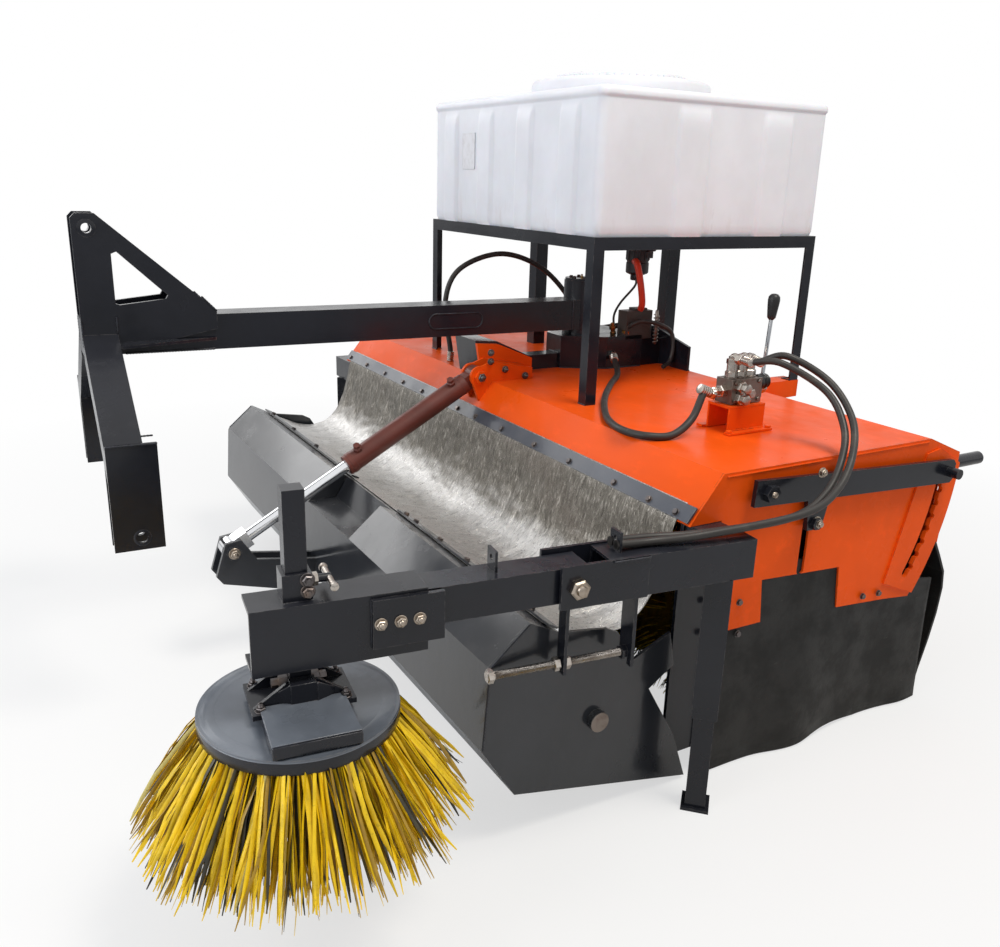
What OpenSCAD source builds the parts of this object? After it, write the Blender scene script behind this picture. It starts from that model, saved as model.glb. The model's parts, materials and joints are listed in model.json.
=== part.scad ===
// Road sweeper-collector for a three-point tractor hitch, with side brush, tipping bucket and water tank.
// The drawing frame has X towards the tractor, Y towards the side brush and Z up from the ground; the
// hood's near top crease lies on X = 0, its near end plate on Y = 0. place() moves it to the origin.

/* [Hood] */
// Length of the hood across the machine
hood_w = 2130; // [1900:10:2300]
// Height of the hood's flat top above the ground
hood_top = 805; // [795:1:815]
// Depth of the flat top from the front crease to the rear fold
top_run = 728; // [700:1:745]
// Forward reach of the sloping front strip
strip_run = 90; // [84:1:96]
// Drop of the sloping front strip
strip_drop = 113; // [108:1:116]
// Backward reach of the sloping rear strip
rear_run = 133; // [125:1:140]
// Drop of the sloping rear strip
rear_drop = 52; // [45:1:60]
// Height of the lower edge of the rear wall
rear_low = 490; // [470:5:520]
// Thickness of the hood sheet
sheet_t = 4; // [3:0.5:5]
// Thickness of the end plates
end_t = 6; // [5:0.5:8]
// Thickness of the rubber skirts
skirt_t = 8; // [6:0.5:8]
// Gap between the skirts and the ground
skirt_gap = 4; // [2:1:15]

/* [Main brush] */
// Radius over the tips of the main brush
brush_r = 280; // [260:1:285]
// Radius of the brush core tube
core_r = 90; // [70:1:120]
// Distance of the brush axis behind the front crease
brush_back = 290; // [286:1:296]
// Radius of the brush shaft
shaft_r = 25; // [20:1:30]
// Number of bristle wafers along the core
wafer_n = 26; // [10:1:40]

/* [Bucket] */
// Distance of the tipping axis ahead of the crease
tip_x = 309; // [305:1:313]
// Height of the tipping axis
tip_z = 256; // [252:1:260]
// Radius of the tipping pins
tip_r = 25; // [20:1:28]
// Thickness of the bucket sheet
bucket_t = 4; // [3:0.5:6]
// Thickness of the bucket side plates
side_t = 8; // [6:0.5:10]
// Width of the pocket under the cylinder
pocket_w = 345; // [120:5:400]

/* [Tipping cylinder] */
// Position of the cylinder across the hood
cyl_y = -1103; // [-1120:1:-1080]
// Outer radius of the barrel
barrel_r = 32; // [28:1:34]
// Radius of the chromed rod
rod_r = 18; // [14:1:20]
// Length from the barrel pin to the gland face
barrel_len = 505; // [480:5:510]

/* [Hitch] */
// Distance from the hood crease back to the swing pivot
pivot_back = 432; // [420:1:450]
// Position of the swing pivot across the hood
pivot_y = -1218; // [-1240:1:-1190]
// Reach from the swing pivot to the hitch front face
hitch_len = 1605; // [1500:5:1700]
// Side of the square draw beam
beam_s = 100; // [90:1:105]
// Height of the beam's underside
beam_z = 936; // [930:1:945]
// Angle at which the beam is parked
beam_swing = -2.6; // [-6:0.1:6]
// Distance between the centres of the lower link clevises
link_spread = 825; // [805:1:845]
// Clear gap of each lower link clevis
link_gap = 47; // [40:1:52]
// Radius of the lower link pin holes
link_r = 14.35; // [11:0.05:16]
// Height of the lower link pins above the ground
link_z = 544; // [530:1:560]
// Radius of the top link pin hole
top_r = 12.9; // [9.5:0.05:13]
// Height of the top link pin above the ground
top_z = 1272; // [1250:1:1290]

/* [Water tank] */
// Length of the tank along the machine
tank_l = 857; // [820:1:900]
// Width of the tank across the machine
tank_w = 1004; // [960:1:1060]
// Height of the tank body
tank_h = 393; // [350:1:430]
// Height of the stand's top ring
stand_z = 1279; // [1240:1:1300]
// Side of the stand's angle iron
angle_s = 36; // [30:1:45]

/* [Side brush] */
// Angle of the side arm towards the middle of the machine
arm_in = 7; // [5:0.5:8]
// Height of the underside of the arm bracket tube
arm_z = 603; // [600:1:605]
// Distance of the side brush along the arm
post_out = 994; // [985:1:1015]
// Radius over the tips of the side brush
side_r = 335; // [310:1:345]
// Radius of the side brush disc
disc_r = 188; // [180:1:200]
// Height of the parked side brush tips above the ground
side_lift = 235; // [225:1:250]

/* [Parking legs] */
// Side of the leg's inner tube
leg_s = 48; // [40:1:50]
// Distance of each leg outside the end plates
leg_out = 80; // [74:1:86]

/* [Hidden] */
eps = 0.3;
run = 0.05;
orange = [0.86, 0.25, 0.08];
black = [0.08, 0.085, 0.11];
rubber = [0.06, 0.06, 0.06];

// Hood profile, from the front edge over the top to the lower edge of the rear wall
p0 = [strip_run, hood_top - strip_drop];
p1 = [0, hood_top];
p2 = [-top_run, hood_top];
p3 = [-top_run - rear_run, hood_top - rear_drop];
p4 = [p3[0] + 19, rear_low];
hood_pts = [p0, p1, p2, p3, p4];
// Height lever pivot, slot radius and rear edge radius on the end plates
lever_p = [-123, hood_top - 55];
slot_rim = 72;
edge_r = norm(p3 - lever_p);
quad_r = round(edge_r - slot_rim);
slot_w = 26;
lever_a = 3.1;
brush_c = [-brush_back, brush_r];
grip_y = -end_t - 20;
grip_z = lever_p[1] - quad_r * sin(lever_a);

// Side frame plates stand inside the skirts and carry the brush and the bucket
frame_t = 10;
frame_in = 25;
skirt_y = end_t;
bucket_gap = 12;
bucket_w = hood_w - 2 * bucket_gap;

// Bucket profile, from the rear lip along the floor, up the front and over the cover
b_lip = [19, 9.5];
b_toe = [520, 124];
b_low = [606, 261];
b_high = [592, 457];
b_top = [496, 540];
b_edge = [420, 501];
bucket_pts = [b_lip, b_toe, b_low, b_high, b_top, b_edge, [414, 480]];
pocket_y = cyl_y + 113;
pocket_q = [500, 460];

// Cylinder pins
cyl_b = [44, hood_top + 18];
cyl_e = [851, 370];
cyl_len = norm(cyl_e - cyl_b);
cyl_a = atan2(cyl_b[1] - cyl_e[1], cyl_e[0] - cyl_b[0]);
pin_r = 15;
ear_gap = 24;

// Hitch, in a frame whose first axis runs along the beam
pivot_r = 40;
sleeve_r = 60;
turret_z = beam_z - 20;
hook_w = link_gap / 2;
plate_t = 10;
arm_slope = 31.2;
clevis_y = link_spread / 2;
clevis_out = clevis_y + hook_w + plate_t;
clevis_top = 786;

// Tank and stand
tank_x = -88;
tank_y = -675;
stand_x0 = tank_x + 3;
stand_x1 = tank_x - tank_l - 3;
stand_y0 = tank_y + 3;
stand_y1 = tank_y - tank_w - 3;
angle_t = 4;
rail_x = -655;
rear_post_y = -1335;

// Side arm, in a frame whose first axis runs along the arm
arm_org = [0, 79.5];
arm_s = 90;
tube_s = 76;
fixed_end = 363;
tube_start = 410;
hinge_x = 441;
hinge_z = arm_z + arm_s / 2;
hinge_t = 8;
chan_x0 = 755;
chan_x1 = 1084;
chan_h = 130;
chan_top = arm_z + arm_s + 2;
chan_t = 8;
tube_z = chan_top - chan_t - tube_s;
post_s = 40;
post_y = -1;
post_top = 903;
disc_t = 28;
disc_z = side_lift + 212;
post_c = [arm_org[0] + post_out * cos(arm_in) + post_y * sin(arm_in),
    arm_org[1] - post_out * sin(arm_in) + post_y * cos(arm_in)];
leg_x = 62;
foot_s = 66;
foot_t = 8;
leg_wall = 5;
leg_len = 340;
sleeve_z = 250;

// Overall reach, used to centre the machine over the origin
grip_x = -989;
x_max = max(post_c[0] + side_r, hitch_front());
y_max = post_c[1] + side_r;
y_min = -hood_w - leg_out - foot_s / sqrt(2);
org = [(x_max + grip_x) / 2, (y_max + y_min) / 2];

function hitch_front() = -pivot_back + hitch_len * cos(beam_swing) - clevis_out * sin(beam_swing);
function left_n(a, b) = [a[1] - b[1], b[0] - a[0]] / norm(b - a);
function off_pt(p, i, t) = let (n = len(p) - 1)
    i == 0 ? p[0] + t * left_n(p[0], p[1]) :
    i == n ? p[n] + t * left_n(p[n - 1], p[n]) :
    let (a = left_n(p[i - 1], p[i]), b = left_n(p[i], p[i + 1])) p[i] + t * (a + b) / (1 + a * b);
function band(p, t, u = 0) = concat([for (i = [0:len(p) - 1]) off_pt(p, i, u)],
    [for (i = [len(p) - 1:-1:0]) off_pt(p, i, t)]);
function at_z(a, b, z) = a + (b - a) * (z - a[1]) / (b[1] - a[1]);
function at_x(a, b, x) = a + (b - a) * (x - a[0]) / (b[0] - a[0]);

// Smooth path through chosen points, and the rings of a hose swept along it
function spline(p, k) = [for (i = [0:len(p) - 2], j = [0:k - 1]) let (
    a = i == 0 ? 2 * p[0] - p[1] : p[i - 1], b = p[i], c = p[i + 1],
    d = i == len(p) - 2 ? 2 * p[i + 1] - p[i] : p[i + 2], t = j / k)
    0.5 * (2 * b + (c - a) * t + (2 * a - 5 * b + 4 * c - d) * t * t + (3 * b - a - 3 * c + d) * t * t * t)];
function path(p, k) = concat(spline(p, k), [p[len(p) - 1]]);
function tangent(q, i) = let (a = q[max(i - 1, 0)], b = q[min(i + 1, len(q) - 1)]) (b - a) / norm(b - a);
function unit(v) = v / norm(v);
function frames(q, i = 0, u = undef, acc = []) = i == len(q) ? acc :
    let (t = tangent(q, i), g = u == undef ? (abs(t[2]) < 0.9 ? [0, 0, 1] : [1, 0, 0]) : u,
        v = unit(g - (g * t) * t)) frames(q, i + 1, v, concat(acc, [[t, v]]));

module hose(points, r, k = 2, n = 8) {
    q = path(points, k);
    f = frames(q);
    m = len(q);
    verts = [for (i = [0:m - 1], j = [0:n - 1]) let (v = f[i][1], w = cross(f[i][0], v), a = 360 * j / n)
        q[i] + r * (cos(a) * v + sin(a) * w)];
    sides = [for (i = [0:m - 2], j = [0:n - 1]) let (j2 = (j + 1) % n)
        each [[i * n + j, i * n + j2, (i + 1) * n + j2], [i * n + j, (i + 1) * n + j2, (i + 1) * n + j]]];
    caps = [[for (j = [n - 1:-1:0]) j], [for (j = [0:n - 1]) (m - 1) * n + j]];
    polyhedron(points = verts, faces = [for (s = concat(sides, caps)) [for (c = [len(s) - 1:-1:0]) s[c]]]);
}

module place() translate([-org[0], -org[1], 0]) children();
// Extrudes a profile drawn in X and Z from y0 to y1
module xz(y0, y1) translate([0, y1, 0]) rotate([90, 0, 0]) linear_extrude(y1 - y0) children();
// A cylinder along Y
module rod_y(x, z, r, y0, y1, fn = 64) translate([x, y1, z]) rotate([90, 0, 0]) cylinder(r = r, h = y1 - y0, $fn = fn);
module box(a, b) translate(a) cube(b - a);
module slot2(a, b, w) {
    translate(a) circle(d = w, $fn = 32);
    translate(b) circle(d = w, $fn = 32);
    polygon(band([a, b], w / 2, -w / 2));
}
module far_side() translate([0, -hood_w, 0]) mirror([0, 1, 0]) children();
module hitch_frame() translate([-pivot_back, pivot_y, 0]) rotate([0, 0, beam_swing]) children();
module arm_frame() translate([arm_org[0], arm_org[1], 0]) rotate([0, 0, -arm_in]) children();
module cyl_frame() translate([cyl_b[0], cyl_y, cyl_b[1]]) rotate([0, cyl_a, 0]) children();

module hood_shell() color(orange) difference() {
    xz(-hood_w + end_t, -end_t) polygon(band(hood_pts, sheet_t));
    // slots in the rear wall for the grips of the height levers
    for (y = [grip_y, -hood_w - grip_y]) box([p3[0] - 20, y - 14, rear_low - 1], [p4[0] + 20, y + 14, grip_z + 30]);
}

module quad_slot() {
    intersection() {
        difference() {
            circle(r = quad_r + slot_w / 2, $fn = 128);
            circle(r = quad_r - slot_w / 2, $fn = 128);
        }
        polygon([[0, 0], for (a = [lever_a, 29]) 900 * [-cos(a), -sin(a)]]);
    }
    for (a = [lever_a, 29]) translate(-quad_r * [cos(a), sin(a)]) circle(d = slot_w, $fn = 32);
    for (a = [8:3.2:27.5]) translate(-(quad_r + slot_w / 2) * [cos(a), sin(a)]) circle(d = 16, $fn = 32);
}

module end_plate() {
    low = [-634, 361];
    xz(-end_t, 0) difference() {
        polygon(concat([p1, p0, [-5, p0[1]], [-33, 399], [-172, 397], [-160, 513], [-436, 494], [-448, 377], low],
            [for (a = [33:-3:0]) lever_p - edge_r * [cos(a), sin(a)]], [p3, p2]));
        slot2([-290, 514], [-290, 648], 24);
        translate(lever_p) quad_slot();
    }
    xz(0, end_t) difference() {
        polygon(concat([[-716, 765], [-621, 411]], [for (a = [32:-2:2]) lever_p - edge_r * [cos(a), sin(a)]],
            [[p2[0] - 40, 775]]));
        translate(lever_p) quad_slot();
    }
}
module end_plate_near() color(orange) end_plate();
module end_plate_far() color(orange) far_side() end_plate();

module height_lever() {
    y0 = 2 * end_t + 2;
    translate([lever_p[0], 0, lever_p[1]]) rotate([0, -lever_a, 0]) {
        xz(y0, y0 + 12)
            polygon([[44, -32], [44, 32], [-quad_r - 12, 32], [-quad_r - 24, 20], [-quad_r - 24, -20],
                [-quad_r - 12, -32], [-210, -32], [-196, -110], [-148, -110], [-134, -32]]);
        rod_y(0, 0, 12, 0, y0 + 12);
        rod_y(0, 0, 22, y0 + 12, y0 + 26, 6);
        rod_y(-172, -93, 9, -end_t, y0 + 1, 32);
        rod_y(-172, -93, 16, y0 + 12, y0 + 22, 6);
    }
    translate([lever_p[0] - quad_r * cos(lever_a), 0, grip_z]) {
        rod_y(0, 0, 9, grip_y - 6, y0 + 1, 32);
        rod_y(0, 0, 14, y0 + 11, y0 + 44, 32);
    }
    translate([grip_x, grip_y, grip_z]) rotate([0, 90, 0]) {
        cylinder(r = 18, h = 124, $fn = 48);
        cylinder(r = 9, h = lever_p[0] - quad_r * cos(lever_a) - grip_x, $fn = 32);
    }
}
module height_lever_near() color(black) height_lever();
module height_lever_far() color(black) far_side() height_lever();

module side_frame() {
    y1 = -frame_in;
    y0 = y1 - frame_t;
    difference() {
        xz(y0, y1) union() {
            polygon([[-600, hood_top - sheet_t], [-8, hood_top - sheet_t], [62, 700], [85, 690], [85, 165],
                [158, 285], [250, 306], [tip_x, tip_z + 48], [tip_x + 48, tip_z], [tip_x + 20, 212], [140, 75],
                [-20, 75], [-180, 150], [-380, 180], [-440, 280], [-600, 520]]);
            translate([tip_x, tip_z]) circle(r = 48, $fn = 64);
        }
        rod_y(tip_x, tip_z, tip_r + run, y0 - 1, y1 + 1);
        rod_y(brush_c[0], brush_c[1], shaft_r + 8, y0 - 1, y1 + 1);
    }
    // flanged bearing of the main brush
    difference() {
        rod_y(brush_c[0], brush_c[1], shaft_r + 34, y0 - 14, y0);
        rod_y(brush_c[0], brush_c[1], shaft_r + run, y0 - 15, y0 + 1);
    }
}
module side_frame_near() color(black) side_frame();
module side_frame_far() color(black) far_side() side_frame();

module skirt() {
    xz(-skirt_y - skirt_t, -skirt_y) polygon([[-22, 520], [-24, skirt_gap], [-850, skirt_gap], [-842, 380],
        [-640, 420], [-452, 540], [-150, 540]]);
}
module skirt_near() color(rubber) skirt();
module skirt_far() color(rubber) far_side() skirt();

module rear_flap() color(rubber) {
    w = end_t + skirt_t + 2;
    q = [at_z(p3, p4, rear_low + 45) - [eps, 0], p4 - [eps, 0], [-878, 434], [-910, 380], [-918, 329],
        [-912, 250], [-896, 170], [-872, 80], [-856, skirt_gap]];
    xz(-hood_w + w, -w) polygon(band(q, -skirt_t));
}

module sheet_bar() color([0.35, 0.38, 0.42])
    xz(-hood_w + end_t, -end_t) polygon(band([at_x(p0, p1, strip_run - 2), at_x(p0, p1, strip_run - 28)], -8.6, -3.6));

sheet_pts = [at_x(p0, p1, strip_run - 30), p0, [116, 590], [142, 520], [182, 470], [240, 446], [320, 455],
    [395, 487], b_edge, at_x(b_edge, b_top, 445)];
module flex_sheet() color([0.6, 0.6, 0.58]) {
    n = len(sheet_pts);
    xz(-hood_w + 45, -45) polygon(concat([for (i = [0:n - 1]) off_pt(sheet_pts, i, eps)],
        [for (i = [n - 1:-1:0]) off_pt(sheet_pts, i, eps + 3)]));
}

module pivot_bracket() color(black) {
    c = [-pivot_back, pivot_y];
    plan = [[-620, c[1] - 118], [-470, c[1] - 118], [-330, c[1] - 50], [-330, c[1] + 40], [-470, c[1] + 118],
        [-620, c[1] + 118]];
    difference() {
        translate([0, 0, hood_top]) linear_extrude(turret_z - hood_top) polygon(plan);
        translate([0, 0, hood_top - 1]) linear_extrude(turret_z - 12 - hood_top + 1) polygon([[-612, c[1] - 110],
            [-472, c[1] - 110], [-338, c[1] - 45], [-338, c[1] + 35], [-472, c[1] + 110], [-612, c[1] + 110]]);
    }
    // swing pin with its cap
    translate([c[0], c[1], turret_z]) cylinder(r = pivot_r, h = beam_z + beam_s + 71 - turret_z - 7, $fn = 96);
    translate([c[0], c[1], beam_z + beam_s + 64]) cylinder(r = sleeve_r - 3, h = 7, $fn = 96);
    // rear cross plate and its two ties to the turret
    translate([-top_run + 3, 0, 0]) rotate([90, 0, 90]) linear_extrude(10) polygon([[c[1] - 259, hood_top],
        [c[1] + 259, hood_top], [c[1] + 259, hood_top + 84], [c[1] + 69, hood_top + 129],
        [c[1] - 69, hood_top + 129], [c[1] - 259, hood_top + 84]]);
    for (s = [-1, 1]) xz(c[1] + s * 100 - 5, c[1] + s * 100 + 5) polygon([[-620, hood_top], [-620, turret_z],
        [-top_run + 13, hood_top + 90], [-top_run + 13, hood_top]]);
    // nose that carries the cylinder clevis, and its tie to the turret
    box([-330, c[1] - 30, hood_top], [-190, c[1] + 30, hood_top + 50]);
    xz(cyl_y - 190, cyl_y - 48) polygon([[-190, hood_top], [-190, hood_top + 55], [-60, 918], [20, 924], [0, hood_top]]);
}

module cylinder_clevis() color(orange) {
    difference() {
        for (s = [-1, 1]) let (y = cyl_y + s * (ear_gap + 5 + eps)) xz(y - 5, y + 5) union() {
            polygon([[-150, hood_top], [0, hood_top], at_x(p1, p0, 48), [68, 795], cyl_b + [22, 24], [0, 870],
                [-150, 840]]);
            translate(cyl_b) circle(r = 34, $fn = 64);
        }
        rod_y(cyl_b[0], cyl_b[1], pin_r, cyl_y - 60, cyl_y + 60);
    }
    xz(cyl_y - 48, cyl_y - ear_gap - 10 - eps) polygon([[-190, hood_top], [-190, hood_top + 52], [-60, 910],
        [20, 916], [0, hood_top]]);
    rod_y(cyl_b[0], cyl_b[1], pin_r, cyl_y - ear_gap - 22, cyl_y + ear_gap + 16);
    rod_y(cyl_b[0], cyl_b[1], 21, cyl_y + ear_gap + 10 + eps, cyl_y + ear_gap + 22, 6);
}

module corner_angle(x, y, sx, sy, z0, z1) translate([x, y, z0]) {
    mirror([sx > 0 ? 0 : 1, 0, 0]) mirror([0, sy > 0 ? 0 : 1, 0]) {
        cube([angle_s, angle_t, z1 - z0]);
        cube([angle_t, angle_s, z1 - z0]);
    }
}
module tank_stand() color(black) {
    zt = stand_z - angle_t;
    difference() {
        box([stand_x1, stand_y1, zt], [stand_x0, stand_y0, stand_z]);
        box([stand_x1 + angle_s, stand_y1 + angle_s, zt - 1], [stand_x0 - angle_s, stand_y0 - angle_s, stand_z + 1]);
    }
    difference() {
        box([stand_x1, stand_y1, stand_z - angle_s], [stand_x0, stand_y0, zt]);
        box([stand_x1 + angle_t, stand_y1 + angle_t, stand_z - angle_s - 1],
            [stand_x0 - angle_t, stand_y0 - angle_t, zt + 1]);
    }
    zr = stand_z - angle_s;
    corner_angle(stand_x0, stand_y0, -1, -1, hood_top, zr);
    corner_angle(stand_x0, stand_y1, -1, 1, hood_top, zr);
    corner_angle(stand_x1, stand_y0, 1, -1, hood_top + 8, zr);
    // two wider posts, one at the far side and one at the rear
    box([-553, stand_y1 + 4, hood_top], [-503, stand_y1 + 54, zt]);
    box([stand_x1 + 4, rear_post_y - 25, hood_top + 8], [stand_x1 + 54, rear_post_y + 25, zt]);
    // cross rail under the tank
    box([rail_x, stand_y1 + angle_t, zt - 30], [rail_x + 4, stand_y0 - angle_t, zt]);
    box([rail_x + 4, stand_y1 + angle_t, zt - 4], [rail_x + 34, stand_y0 - angle_t, zt]);
}
module rear_brackets() color(orange) let (x = stand_x1 - 4) for (y = [stand_y0 - 66, rear_post_y - 33])
    xz(y, y + 66) polygon(concat([p2, p2 + [0, 8], [x, hood_top + 8]],
        x < p3[0] ? [[x, hood_top - 48], p3] : [at_x(p2, p3, x)]));

module tank() color([0.93, 0.94, 0.95]) {
    x1 = tank_x - tank_l;
    y1 = tank_y - tank_w;
    zb = stand_z;
    zt = stand_z + tank_h;
    r = 26;
    difference() {
        hull() {
            for (x = [x1 + 3 + r, tank_x - 3 - r], y = [y1 + 3 + r, tank_y - 3 - r])
                translate([x, y, zb]) cylinder(r = r, h = 10, $fn = 24);
            for (x = [x1 + r, tank_x - r], y = [y1 + r, tank_y - r]) translate([x, y, zt - r]) sphere(r = r, $fn = 24);
        }
    }
    // raised bands on the sides
    for (y = [y1 + 60, y1 + 300, y1 + 540, y1 + 780]) translate([tank_x - 4, y, zb + 20]) rotate([90, 0, 90])
        linear_extrude(6) polygon([[0, 0], [150, 0], [150, tank_h - 80], [130, tank_h - 50], [20, tank_h - 50], [0, tank_h - 80]]);
    for (x = [tank_x - 300, tank_x - 640]) translate([x, tank_y - 4, zb + 20]) rotate([90, 0, 0]) mirror([0, 0, 1])
        linear_extrude(6) polygon([[-90, 0], [90, 0], [90, tank_h - 80], [70, tank_h - 50], [-70, tank_h - 50], [-90, tank_h - 80]]);
}
module tank_lid() color([0.9, 0.91, 0.93]) translate([tank_x - tank_l / 2, tank_y - tank_w / 2, stand_z + tank_h]) {
    rotate_extrude($fn = 96) polygon([[0, 0], [235, 0], [235, 22], [228, 30], [180, 34], [180, 56], [172, 64], [0, 70]]);
    translate([0, 0, 69]) cylinder(r = 24, h = 14, $fn = 48);
}

module spray_pump() color([0.12, 0.12, 0.13]) translate([rail_x + 4, pivot_y + 60, stand_z - 2 * angle_t]) {
    box([0, -45, -96], [34, 45, 0]);
    translate([34, 0, -150]) cylinder(r = 40, h = 110, $fn = 64);
    translate([34, 0, -172]) cylinder(r = 20, h = 24, $fn = 48);
    rod_y(20, -70, 11, 45, 80, 32);
}

module valve_bracket() color(orange) {
    xz(-345, -262) difference() {
        polygon([[-405, hood_top], [-225, hood_top], [-225, hood_top + 6], [-252, hood_top + 6], [-252, 877],
            [-378, 877], [-378, hood_top + 6], [-405, hood_top + 6]]);
        polygon([[-372, hood_top - 1], [-258, hood_top - 1], [-258, 871], [-372, 871]]);
    }
}
module control_valve() color([0.62, 0.62, 0.6]) {
    box([-372, -336, 877], [-262, -272, 945]);
    for (x = [-350, -317, -284]) translate([x, -304, 945]) {
        cylinder(r = 14, h = 22, $fn = 6);
        translate([0, 0, 22]) cylinder(r = 10, h = x < -340 ? 18 : 40, $fn = 32);
    }
    for (x = [-317, -284]) rod_y(x, 998, 12, -316, -262, 32);
    for (z = [895, 925]) rod_y(-290, z, 13, -272, -240, 32);
    translate([-262, -304, 911]) rotate([0, 90, 0]) cylinder(r = 12, h = 46, $fn = 32);
    // hand lever
    translate([-372, -304, 920]) rotate([0, -90, 0]) cylinder(r = 20, h = 38, $fn = 48);
    translate([-398, -304, 930]) rotate([0, -3, 0]) {
        cylinder(r = 6, h = 170, $fn = 32);
        translate([0, 0, 160]) cylinder(r1 = 12, r2 = 16, h = 60, $fn = 48);
        translate([0, 0, 220]) sphere(r = 16, $fn = 32);
    }
}

module arm_bracket() color(black) {
    arm_frame() {
        difference() {
            box([0, -arm_s / 2, arm_z], [fixed_end, arm_s / 2, arm_z + arm_s]);
            box([8, -arm_s / 2 + 6, arm_z + 6], [fixed_end + 1, arm_s / 2 - 6, arm_z + arm_s - 6]);
        }
        // hinge cheeks outside the tube and the hinge bolt
        difference() {
            for (s = [-1, 1]) let (y = s * (arm_s / 2 + hinge_t / 2))
                box([276, y - hinge_t / 2, arm_z], [hinge_x + 38, y + hinge_t / 2, arm_z + arm_s + 4]);
            rod_y(hinge_x, hinge_z, 12, -80, 80);
        }
        rod_y(hinge_x, hinge_z, 12, -arm_s / 2 - hinge_t - 14, arm_s / 2 + hinge_t);
        rod_y(hinge_x, hinge_z, 19, arm_s / 2 + hinge_t, arm_s / 2 + hinge_t + 13, 6);
        // forked stop tab, open downwards
        difference() {
            box([279, -25, 425], [287, 25, arm_z - 4 + 4]);
            box([278, -9.5, 424], [288, 9.5, 462]);
        }
        // hose lug on the tube
        difference() {
            box([322, -26, arm_z + arm_s], [328, 14, arm_z + arm_s + 44]);
            translate([320, -6, arm_z + arm_s + 26]) rotate([0, 90, 0]) cylinder(r = 7, h = 12, $fn = 32);
        }
    }
    // stub between the side frame and the tube
    difference() {
        box([0, -frame_in, arm_z], [80, 28, arm_z + arm_s - 2]);
        arm_frame() box([-5, -arm_s / 2, arm_z - 1], [120, arm_s / 2, arm_z + arm_s + 1]);
    }
    leg_sleeve(leg_out);
}
module leg_sleeve(y) translate([leg_x, y, sleeve_z]) rotate([0, 0, 45]) {
    o = leg_s / 2 + 1 + leg_wall;
    difference() {
        translate([-o, -o, 0]) cube([2 * o, 2 * o, arm_z - sleeve_z]);
        translate([-o + leg_wall, -o + leg_wall, -1]) cube([2 * o - 2 * leg_wall, 2 * o - 2 * leg_wall, arm_z - sleeve_z - 19]);
    }
}
module leg_bracket_far() color(black) {
    box([0, -hood_w - leg_out - 50, arm_z], [88, -hood_w + frame_in, arm_z + arm_s - 8]);
    leg_sleeve(-hood_w - leg_out);
}
module leg(y) {
    translate([leg_x, y, 0]) rotate([0, 0, 45]) {
        translate([-leg_s / 2, -leg_s / 2, foot_t]) cube([leg_s, leg_s, leg_len]);
        translate([-foot_s / 2, -foot_s / 2, 0]) cube([foot_s, foot_s, foot_t]);
    }
}
module leg_near() color(black) leg(leg_out);
module leg_far() color(black) leg(-hood_w - leg_out);

module main_core() color([0.2, 0.2, 0.22]) {
    y0 = -frame_in - frame_t;
    c = brush_c;
    rod_y(c[0], c[1], shaft_r, -hood_w + frame_in + 2, -frame_in - 2);
    difference() {
        rod_y(c[0], c[1], core_r, -hood_w - y0 + 30, y0 - 30);
        rod_y(c[0], c[1], core_r - 6, -hood_w - y0 + 38, y0 - 38);
    }
    for (y = [y0 - 24, -hood_w - y0 + 20]) rod_y(c[0], c[1], core_r + 20, y - 4, y + 4, 96);
}
module main_bristles() color([0.16, 0.14, 0.1]) {
    y0 = frame_in + frame_t + 30;
    len_b = hood_w - 2 * y0;
    w = len_b / wafer_n;
    translate([brush_c[0], -y0, brush_c[1]]) rotate([90, 0, 0]) rotate_extrude($fn = 96)
        polygon(concat([[core_r, 0]], [for (i = [0:wafer_n - 1]) each [[brush_r - 14, i * w],
            [brush_r, (i + 0.3) * w], [brush_r, (i + 0.7) * w], [brush_r - 14, (i + 1) * w - 0.01]]], [[core_r, len_b]]));
}

module hitch_beam() color(black) hitch_frame() {
    difference() {
        union() {
            translate([0, 0, turret_z + eps]) cylinder(r = sleeve_r, h = beam_z + beam_s + 64 - eps - turret_z - eps, $fn = 96);
            box([0, -beam_s / 2, beam_z], [hitch_len, beam_s / 2, beam_z + beam_s]);
        }
        box([sleeve_r, -beam_s / 2 + 8, beam_z + 8], [hitch_len - 8, beam_s / 2 - 8, beam_z + beam_s - 8]);
        translate([0, 0, turret_z - 1]) cylinder(r = pivot_r + run, h = 400, $fn = 96);
    }
}

module mast() color(black) hitch_frame() {
    hx = hitch_len - 37;
    a = [hx - 22, top_z + 38];
    b = [hitch_len - 355, beam_z + beam_s + 12];
    for (s = [-1, 1]) let (y = s * (beam_s / 2 + plate_t / 2)) difference() {
        union() {
            xz(y - plate_t / 2, y + plate_t / 2) difference() {
                polygon([[hitch_len, beam_z + 10], [hitch_len, top_z + 26], [hitch_len - 12, top_z + 38], a, b,
                    [b[0], beam_z + 60], [hitch_len - 105, beam_z + 10]]);
                polygon([[1514, 1206], [1514, 1075], [1504, 1071], [1384, 1084], [1378, 1094], [1500, 1212]]);
            }
            rod_y(hx, top_z, 24, min(s * 26, s * beam_s / 2), max(s * 26, s * beam_s / 2));
        }
        rod_y(hx, top_z, top_r, -100, 100);
    }
    // cap strip between the sloping edges
    xz(-beam_s / 2, beam_s / 2) polygon(band([at_x(a, b, hitch_len - 125), at_x(a, b, hitch_len - 285)], 6));
}

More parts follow.
